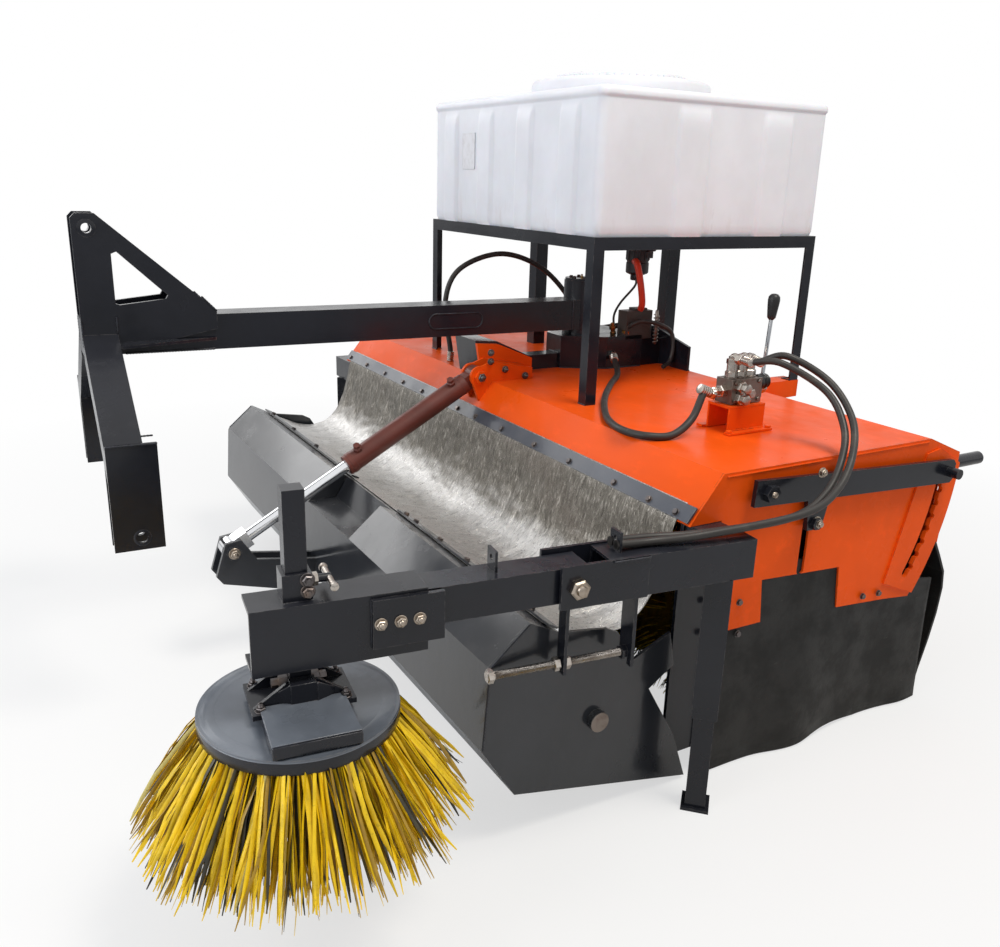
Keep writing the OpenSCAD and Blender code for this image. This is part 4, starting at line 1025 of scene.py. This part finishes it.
class SWEEPER_OT_valve(bpy.types.Operator):
    """Dresses the control valve with ports, elbows, caps and its hand lever."""

    bl_idname = "sweeper.valve"
    bl_label = "Control valve"

    def execute(self, context):
        back = Vector((-1, 0, 0))
        body = Stock()
        body.block((-370, -334, 879), (-264, -274, 944))
        body.block((-376, -330, 890), (-366, -278, 934))
        for x in (-350, -317, -284):
            body.turned([(12, -3), (17, -3), (17, 3), (14, 4.5), (10, 4.5)], shift(x, -304, 944), 28)
        for x in (-358, -276):
            for z in (888, 936):
                body.bolt((x, -273.5, z), Y, 6, False)
        body.piece("valve_body", "frame", "steel", "zinc", bevel=1.4, node="control_valve")

        stand = Stock()
        stand.block((-378, -345, 870), (-252, -262, 877))
        for y in (-345, -268):
            stand.block((-378, y, 806), (-252, y + 6, 872))
        stand.block((-392, -262, 806), (-238, -240, 812))
        stand.block((-392, -367, 806), (-238, -345, 812))
        stand.weld(5, [(-378, -260, 813), (-252, -260, 813)])
        for x in (-384, -246):
            stand.turned([(6, 0), (9, 0.3), (9, 5), (7, 6), (3, 6.2)], shift(x, -251, 812), 6)
        stand.piece("valve_stand", "frame", "orange", "orange_paint", bevel=0.8, node="valve_bracket")

        ports = Stock()
        for x, h in ((-350, 20), (-317, 42), (-284, 42)):
            m = shift(x, -304, 947)
            ports.turned([(13, 0), (16.5, 0.5), (16.5, 14), (14.5, 16), (11, 16)], m, 6, 0.4)
            stem = [(11, 15), (13, 16), (13, 15 + h * 0.5), (10, 17 + h * 0.5), (10, 12 + h), (6, 14 + h)]
            ports.turned(stem, m, 24)
            if h > 30:
                ports.turned([(12, 34), (15.5, 34.5), (15.5, 46), (13, 48), (10, 48)], m, 6, 0.1)
                elbow = [(x, -304, 985), (x, -303, 996), (x, -296, 1001), (x, -284, 998), (x, -266, 998)]
                ports.pipe(smooth_path(elbow, 6), 10, 18)
                nut = [(10, 0), (15, 0.4), (15, 12), (12, 14), (9, 14)]
                ports.turned(nut, aim((x, -284, 998), Y), 6, 0.2)
        side = [(12, 0), (17, 0.6), (17, 15), (14.5, 17), (11.5, 17)]
        side += [(11.5, 27), (13.5, 28), (13.5, 34), (10, 35)]
        for z in (895, 925):
            ports.turned(side, aim((-290, -275, z), Y), 6, 0.2)
        front = [(13, -2), (17, -1), (17, 14), (14, 16), (11, 16)]
        front += [(11, 28), (14, 29), (14, 42), (11, 46), (8, 46)]
        ports.turned(front, aim((-264, -304, 911), X), 6, 0.3)
        spool = [(14, 0), (19, 1), (19, 10), (16, 12), (16, 46), (14, 50), (6, 51)]
        ports.turned(spool, aim((-372, -318, 905), back), 28)
        ports.turned([(8, 0), (13, 0.5), (13, 9), (11, 11), (5, 11)], aim((-330, -274, 905), Y), 6)
        ports.piece("valve_ports", "frame", "zinc", "zinc")

        grip = Stock()
        boot = [(15, -2), (21, 0), (22, 6), (18, 14), (21, 20), (17, 27), (19, 32), (12, 40), (7, 42)]
        grip.turned(boot, aim((-372, -296, 926), (-1, 0, 0.1)), 32)
        knob = [(6, 0), (11, 6), (12.5, 18), (14.5, 36), (15.8, 52), (14.6, 61), (9, 67), (3, 68.6)]
        grip.turned(knob, aim((-406.5, -304, 1090), (-0.052, 0, 1)), 32)
        grip.piece("valve_grip", "frame", "grip", "black_plastic", 50)
        stick = Stock()
        stick.pipe([(-398, -304, 928), (-400, -304, 960), (-403, -304, 1020), (-407, -304, 1096)], 5.2, 16)
        stick.turned([(5, 0), (9, 0.5), (9, 12), (6, 13)], aim((-398, -304, 934), (-0.05, 0, 1)), 6)
        stick.piece("valve_lever", "frame", "chrome", "rod_chrome", 40)
        return {"FINISHED"}


class SWEEPER_OT_turret(bpy.types.Operator):
    """Adds the swing pivot's cap, the spray line's fittings and the pump under the tank."""

    bl_idname = "sweeper.turret"
    bl_label = "Turret and spray line"

    def execute(self, context):
        brass, dark, spring, seams = Stock(), Stock(), Stock(), Stock()
        cx, cy = TURRET
        top = box_mm("pivot_bracket")[1][2]
        for i in range(6):
            a = math.pi / 3 * i + 0.2
            dark.bolt((cx + 38 * math.cos(a), cy + 38 * math.sin(a), top), Z, 7)
        nipple = [(3, -2), (5.5, 0), (5.5, 4), (3, 5), (3, 8), (4, 9), (2, 11)]
        brass.turned(nipple, shift(cx, cy, top + 0.5), 12)
        tail = ((9, 0), (13, 1), (13, 12), (10, 14), (10, 22), (15, 23), (15, 34), (9, 36), (9, 44), (6, 46))
        for point, axis, s in (
            ((-560, -1120, 900), (0, 0.25, 1), 1.0),
            ((-520, -1135, 916), (0.3, 0.2, 1), 0.8),
            ((-600, -1165, 905), (0, 0.3, 1), 0.9),
        ):
            brass.turned([(r * s, z) for r, z in tail], aim(point, axis), 6)
        dark.block((-660, -1150, 902), (-548, -1100, 1000))
        dark.block((-640, -1146, 998), (-590, -1106, 1008))
        sx, sy = -660, -1076
        coil = [(sx + 9 * math.cos(t * 0.7), sy + 9 * math.sin(t * 0.7), 892 + t * 1.35) for t in range(72)]
        spring.pipe(coil, 2.2, 8)
        spring.turned([(4, 884), (6, 886), (6, 1000), (4, 1003)], shift(sx, sy, 0), 12)
        brass.piece("spray_fittings", "frame", "brass", "zinc")
        spring.piece("detent_spring", "frame", "steel", "zinc", 60)
        dark.piece("turret_box", "frame", "box", "black_plastic", bevel=1.2)

        (x0, _, z0), (_, _, z1) = box_mm("spray_pump")
        px, py = x0 + 34, -1158
        lines, red, pump = Stock(), Stock(), Stock()
        thick = [(-560, -1102, 945), (-566, -1084, 958), (-585, -1072, 968), (-618, -1066, 966)]
        thick += [(-660, -1052, 955), (-700, -1040, 930), (-706, -1030, 880), (-690, -1024, 830)]
        lines.pipe(smooth_path(thick + [(-650, -1010, 815)], 8), 7.5, 14)
        thin = [(px, py, z0 + 6), (px + 4, py - 2, z0 - 22)]
        thin += [(-578, -1180, 1020), (-560, -1190, 975), (-556, -1180, 930)]
        lines.pipe(smooth_path(thin, 8), 4, 12)
        lines.piece("spray_pipe", "frame", "hose", "black_rubber", 60)
        drop = [(-597, -1140, 1165), (-586, -1120, 1166), (-580, -1104, 1158), (-584, -1092, 1120)]
        drop += [(-592, -1086, 1070), (-602, -1090, 1025), (-612, -1112, 1000)]
        red.pipe(smooth_path(drop, 8), 11.5, 18)
        red.piece("spray_hose", "frame", "red_hose", "black_rubber", 60)
        housing = [(20, 0), (22, 3), (22, 18), (36, 24), (39.5, 28), (39.5, 60), (37.5, 62), (37.5, 66)]
        housing += [(39.5, 68), (39.5, 124), (34, 132), (20, 134)]
        pump.turned([(r, z0 + z) for r, z in housing], shift(px, py, 0), 48)
        pump.block((x0 + 1, -1200, z1 - 94), (x0 + 30, -1116, z1 - 1))
        for i in range(12):
            pump.block((38, -2, z0 + 70), (42, 2, z0 + 120), shift(px, py, 0) @ turn(30 * i, "Z"))
        barb = [(10, 0), (15, 1), (15, 12), (11, 14), (9, 14), (9, 28), (10.5, 29), (9, 34), (6, 35)]
        for s in (-1, 1):
            pump.turned(barb, aim((x0 + 22, py + s * 40, z1 - 60), (0, s, 0)), 6)
        pump.piece("spray_pump_body", "frame", "pump", "black_plastic", bevel=1.0, node="spray_pump")

        seams.weld(
            7,
            [(-620, -1336, 806), (-470, -1336, 806), (-330, -1268, 806)],
            [(-620, -1100, 806), (-470, -1100, 806), (-330, -1178, 806)],
            [(-725, -1477, 806), (-725, -959, 806)],
        )
        seams.weld(6, [(-330, -1248, 856), (-330, -1188, 856)])
        seams.piece("turret_welds", "frame", "weld", "black_paint", 60)
        return {"FINISHED"}


class SWEEPER_OT_hood(bpy.types.Operator):
    """Bolts and welds the hood's end plates, height levers, stand and clevis plate."""

    bl_idname = "sweeper.hood"
    bl_label = "Hood fittings"

    def execute(self, context):
        zinc, dull, welds, beads, grips, nuts = (Stock() for _ in range(6))
        px, pz = LEVER_PIN
        tip_x = px - LEVER_LENGTH * math.cos(LEVER_SLOPE)
        tip_z = pz - LEVER_LENGTH * math.sin(LEVER_SLOPE)
        for s, y in ENDS:
            for x, z in ((-44, 462), (-92, 468), (-50, 384), (-98, 382), (-14, 470), (-14, 384)):
                dull.bolt((x, y(0.2), z), (0, s, 0), 8)
            for x, z in ((-540, 392), (-604, 388)):
                dull.bolt((x, y(6.2), z), (0, s, 0), 8)
            zinc.bolt((px, y(26), pz), (0, s, 0), 15, True, 7)
            zinc.bolt((px - 172, y(24), pz - 102), (0, s, 0), 15, True, 7)
            zinc.bolt((-290, y(26), 778), (0, s, 0), 11, True, 4)
            beads.weld(5, [(-8, y(1), 797), (-720, y(1), 797)])
        dull.piece("end_plate_bolts", "frame", "dull", "zinc")
        zinc.piece("lever_bolts", "frame", "bolt", "zinc")

        prof = [(9, 0), (16.5, 1), (18, 6)]
        for i in range(8):
            z = 12 + i * 12
            prof += [(18, z), (16.4, z + 4), (18, z + 8)]
        prof += [(18, 112), (16, 121), (8, 123.8)]
        knob = [(7, -32), (13.5, -31), (14, -4), (12, 0), (6, 0.6)]
        for s, y in ENDS:
            grips.turned(prof, aim((-865, y(-26), tip_z), (-1, 0, 0)), 32)
            grips.turned(knob, aim((tip_x, y(56), tip_z), (0, s, 0)), 28)
        grips.piece("lever_grips", "frame", "grip", "black_plastic", 40)

        for x, z in ((10, 899), (10, 871), (-44, 842), (-120, 816)):
            nuts.bolt((x, -1064, z), Y, 10, True, 5)
        nuts.bolt((44, -1064, 823), Y, 15, True, 6)
        nuts.piece("clevis_bolts", "frame", "dull", "zinc")

        for x, y, z in (
            (-103, -690, 806), (-103, -1664, 806), (-930, -690, 814), (-528, -1653, 806), (-919, -1335, 814),
        ):
            welds.weld(5, [(x - 18, y - 18, z), (x + 18, y - 18, z), (x + 18, y + 18, z)])
        beads.piece("hood_beads", "frame", "orange", "orange_paint", 60)
        welds.weld(6, [(0, -24, 604), (0, 26, 604)])
        welds.piece("hood_welds", "frame", "weld", "black_paint", 60)
        return {"FINISHED"}


class SWEEPER_OT_arm(bpy.types.Operator):
    """Dresses the folding side arm with its hinge bolt, splice bolts, stop rod and clamp handle."""

    bl_idname = "sweeper.arm"
    bl_label = "Side arm"

    def execute(self, context):
        moving, fixed, rod, handle, side, welds, seams = (Stock(ARM) for _ in range(7))
        for x in (775, 812, 850):
            moving.bolt((x, 55.5, 639), Y, 11, True, 4)
        fixed.bolt((441, 53.1, 648), Y, 23.5, False, 6)
        moving.piece("splice_bolts", "arm", "bolt", "zinc")
        fixed.piece("hinge_bolt", "frame", "bolt", "zinc")

        pitch = 2.4
        thread = [(3, 0)]
        for i in range(62):
            thread += [(7.6, i * pitch), (9.0, i * pitch + 1.2)]
        rod.turned(thread + [(7.6, 152), (5, 154)], aim((449, 0, STOP_Z), X), 18)
        shorter = thread[:-3]
        rod.turned(shorter + [(7.6, 148), (5, 150)], aim((286, 0, STOP_Z), X), 18)
        for x, s in ((449, 1), (600, 1), (437, -1)):
            nut = [(9, 0), (15.4, 0.6), (15.4, 12), (13, 13.5), (9, 13.5)]
            rod.turned(nut, aim((x, 0, STOP_Z), (s, 0, 0)), 6)
        rod.piece("stop_rod", "arm", "zinc", "zinc")

        handle.pipe([(932, -46, 723), (932, 44, 723)], 6, 14)
        for y in (-46, 44):
            handle.turned([(3, -6), (8, -4), (8.5, 0), (8, 4), (3, 6)], aim((932, y, 723), Y), 18)
        handle.turned([(8, 0), (13, 0.6), (13, 11), (9, 12)], aim((964, -1, 723), (-1, 0, 0)), 6)
        handle.piece("clamp_handle", "arm", "zinc", "zinc", 40)
        for z in (712, 735):
            side.bolt((976, 26.5, z), Y, 12, True, 4)
        side.piece("sleeve_bolts", "arm", "dull", "zinc")

        welds.weld(6, [(725, 45.5, 590), (725, 45.5, 686)], [(865, 45.5, 590), (865, 45.5, 686)])
        welds.weld(5, [(437, -16, 611), (437, 16, 611)], [(967, 27, 694), (1021, 27, 694)])
        welds.piece("arm_welds", "arm", "weld", "black_paint", 60)
        seams.weld(
            5,
            [(276, 45.5, 604), (276, 45.5, 694)],
            [(276, 55.5, 693.5), (363, 55.5, 693.5)],
            [(283, -24, 603), (283, 24, 603)],
        )
        seams.piece("bracket_welds", "frame", "weld", "black_paint", 60)
        return {"FINISHED"}


class SWEEPER_OT_hitch(bpy.types.Operator):
    """Welds and trims the draw beam, mast and link clevises."""

    bl_idname = "sweeper.hitch"
    bl_label = "Hitch"

    def execute(self, context):
        welds, trim = Stock(HITCH), Stock(HITCH)
        top_collar = [(13.1, -6), (23, -6), (23.5, -4), (23.5, 0.6), (21, 1.2), (13.1, 1.2)]
        low_collar = [(14.6, -4), (21, -4), (21.5, 0.2), (20, 0.8), (14.6, 0.8)]
        for s in (-1, 1):
            welds.weld(6, [(1250, s * 60.5, 1046), (1290, s * 60.5, 1088)])
            welds.weld(7, [(1260, s * 50.5, 938), (1500, s * 50.5, 938)])
            y = s * 61
            welds.weld(6, [(1515, y, 996), (1515, y, 1040)], [(1603, y, 960), (1603, y, 1030)])
            for y in (s * 379 - 5, s * 446 + 5):
                welds.weld(5, [(1485, y, 786), (1605, y, 786)])
            trim.turned(top_collar, aim((1568, s * 60.4, 1272), (0, s, 0)), 40, 0.0, False)
            for o in (-1, 1):
                place = aim((1538, s * (412.5 + o * 33.6), 544), (0, o * s, 0))
                trim.turned(low_collar, place, 36, 0.0, False)
        slot = []
        for k in range(33):
            a = 2 * math.pi * k / 32
            x = 500 + math.copysign(70, math.cos(a)) + 24 * math.cos(a)
            slot.append((x, 50.6, 985 + 24 * math.sin(a)))
        welds.pipe(slot, 2.6, 8)
        welds.weld(6, [(60, 50.5, 938), (60, 50.5, 1034)])
        welds.piece("hitch_welds", "hitch", "weld", "black_paint", 60)
        trim.piece("hitch_collars", "hitch", "black", "black_paint")
        return {"FINISHED"}


class SWEEPER_OT_bucket(bpy.types.Operator):
    """Adds the bucket's pivot pins, weld beads and cylinder fittings."""

    bl_idname = "sweeper.bucket"
    bl_label = "Bucket and cylinder"

    def execute(self, context):
        (bx, bz), (ex, ez) = CYLINDER_BACK, CYLINDER_EYE
        pins, welds, bolt = Stock(), Stock(), Stock()
        pin = [(18, -2), (25, -1.5), (25, 0.4), (23.5, 1.6), (16, 1.9), (5, 1.4), (2, 1.2)]
        for s, y in ENDS:
            pins.turned(pin, aim((309, y(5), 256), (0, s, 0)), 48)
            welds.weld(5, [(604, y(-12), 264), (591, y(-12), 452)], [(588, y(-12), 460), (498, y(-12), 538)])
        pins.piece("bucket_pins", "bucket", "steel", "zinc")
        for y in (CYLINDER_Y - 36, CYLINDER_Y + 36):
            welds.weld(6, [(605, y, 262), (598, y, 300)])
        welds.piece("bucket_welds", "bucket", "weld", "bucket_paint", 60)
        for s in (-1, 1):
            bolt.bolt((ex, CYLINDER_Y + s * 49, ez), (0, s, 0), 15, True, 6)
        bolt.piece("rod_bolt", "bucket", "bolt", "zinc")

        slope = math.degrees(math.atan2(bz - ez, ex - bx))
        gland = Stock(HOOD @ shift(bx, CYLINDER_Y, bz) @ turn(slope, "Y"))
        m = aim((0, 0, 0), X)
        gland.turned([(31.9, 478), (33.5, 479), (33.5, 494), (31.9, 496)], m, 64, 0.0, False)
        gland.turned([(31.9, 60), (33, 61), (33, 66), (31.9, 67)], m, 64, 0.0, False)
        port = [(6, 31.4), (14, 31.8), (14, 42), (11, 44), (11, 54), (6, 55)]
        for x in (90, 452):
            gland.turned(port, shift(x, 0, 0) @ turn(-25, "X"), 6)
        gland.piece("barrel_ports", "barrel", "primer", "primer_paint")
        return {"FINISHED"}


class SWEEPER_OT_stage(bpy.types.Operator):
    """Sets the floor, the soft studio light and the camera."""

    bl_idname = "sweeper.stage"
    bl_label = "Studio"

    def execute(self, context):
        scene = bpy.context.scene
        scene.view_settings.view_transform = "Standard"

        mesh = bpy.data.meshes.new("floor")
        mesh.from_pydata([(-30, -30, 0), (30, -30, 0), (30, 30, 0), (-30, 30, 0)], [], [(0, 1, 2, 3)])
        floor = bpy.data.objects.new("floor", mesh)
        scene.collection.objects.link(floor)
        f = Finish("pale_floor")
        reach = f.node("ShaderNodeVectorMath", {"operation": "LENGTH"}, {0: f.where}, "Value")
        share = f.ray("Is Camera Ray") * reach.ramp(1.4, 3.6, (0.62, 1.0), "LINEAR")
        lit = f.node("ShaderNodeBsdfDiffuse", {}, {0: (0.86, 0.86, 0.86, 1)})
        glow = f.node("ShaderNodeEmission", {}, {0: (1, 1, 1, 1)})
        f.end("ShaderNodeOutputMaterial", f.node("ShaderNodeMixShader", {}, {0: share, 1: lit, 2: glow}))
        mesh.materials.append(f.material)

        scene.world = bpy.data.worlds.new("studio")
        scene.world.use_nodes = True
        w = Nodes(scene.world.node_tree)
        seen = w.ray("Is Camera Ray")
        for kind in ("Is Glossy Ray", "Is Transmission Ray"):
            seen = seen.math("MAXIMUM", seen, w.ray(kind))
        soft = w.node("ShaderNodeBackground", {}, {0: (0.93, 0.96, 1.0, 1), 1: 0.42})
        white = w.node("ShaderNodeBackground", {}, {0: (1, 1, 1, 1), 1: 1.0})
        w.end("ShaderNodeOutputWorld", w.node("ShaderNodeMixShader", {}, {0: seen, 1: soft, 2: white}))

        for name, at, height, power, width, tint in (
            ("key", (-0.9, 2.2, 4.8), 0.6, 135, 1.6, (1.0, 0.95, 0.86)),
            ("fill", (4.4, 0.5, 2.8), 0.6, 105, 3.2, (0.95, 0.97, 1.0)),
            ("back", (1.5, -4.5, 3.2), 0.8, 60, 2.6, (1.0, 1.0, 1.0)),
        ):
            data = bpy.data.lights.new(name, "AREA")
            data.energy, data.size, data.color = power, width, tint
            lamp = bpy.data.objects.new(name, data)
            scene.collection.objects.link(lamp)
            lamp.location = at
            lamp.rotation_mode = "QUATERNION"
            lamp.rotation_quaternion = (Vector((0, 0, height)) - Vector(at)).to_track_quat("-Z", "Y")

        lens = bpy.data.cameras.new("camera")
        lens.lens, lens.sensor_width, lens.clip_end = 33.243, 36.0, 100
        camera = bpy.data.objects.new("camera", lens)
        scene.collection.objects.link(camera)
        yaw, pitch, roll = -0.530877, 0.309485, 0.0299328
        ahead = Vector((math.sin(yaw) * math.cos(pitch), -math.cos(yaw) * math.cos(pitch), -math.sin(pitch)))
        right = ahead.cross(Z).normalized()
        up = right.cross(ahead)
        rolled_right = right * math.cos(roll) + up * math.sin(roll)
        rolled_up = up * math.cos(roll) - right * math.sin(roll)
        camera.matrix_world = axes(rolled_right, rolled_up, -ahead, HOOD @ Vector((1444.0, 1457.4, 1426.5)))
        scene.camera = camera
        return {"FINISHED"}


STEPS = (
    SWEEPER_OT_finish,
    SWEEPER_OT_tank,
    SWEEPER_OT_side_brush,
    SWEEPER_OT_main_brush,
    SWEEPER_OT_sheet,
    SWEEPER_OT_skirts,
    SWEEPER_OT_hoses,
    SWEEPER_OT_valve,
    SWEEPER_OT_turret,
    SWEEPER_OT_hood,
    SWEEPER_OT_arm,
    SWEEPER_OT_hitch,
    SWEEPER_OT_bucket,
    SWEEPER_OT_stage,
)


class SWEEPER_PT_panel(bpy.types.Panel):
    """Lists the finishes, the sizes and the steps that build the pieces."""

    bl_idname = "SWEEPER_PT_panel"
    bl_label = "Sweeper"
    bl_space_type = "VIEW_3D"
    bl_region_type = "UI"
    bl_category = "Sweeper"

    def draw(self, context):
        for group in settings():
            for key in group.__annotations__:
                self.layout.prop(group, key)
        for step in STEPS:
            self.layout.operator(step.bl_idname)


CLASSES = (SweeperFinishes, SweeperSizes, *STEPS, SWEEPER_PT_panel)


def register():
    for c in CLASSES:
        bpy.utils.register_class(c)
    bpy.types.Scene.sweeper_finishes = PointerProperty(type=SweeperFinishes)
    bpy.types.Scene.sweeper_sizes = PointerProperty(type=SweeperSizes)


def unregister():
    del bpy.types.Scene.sweeper_finishes
    del bpy.types.Scene.sweeper_sizes
    for c in reversed(CLASSES):
        bpy.utils.unregister_class(c)


def main():
    register()
    for step in STEPS:
        group, name = step.bl_idname.split(".")
        if getattr(getattr(bpy.ops, group), name)() != {"FINISHED"}:
            raise RuntimeError(f"{step.bl_label} did not finish")


if __name__ == "__main__":
    main()
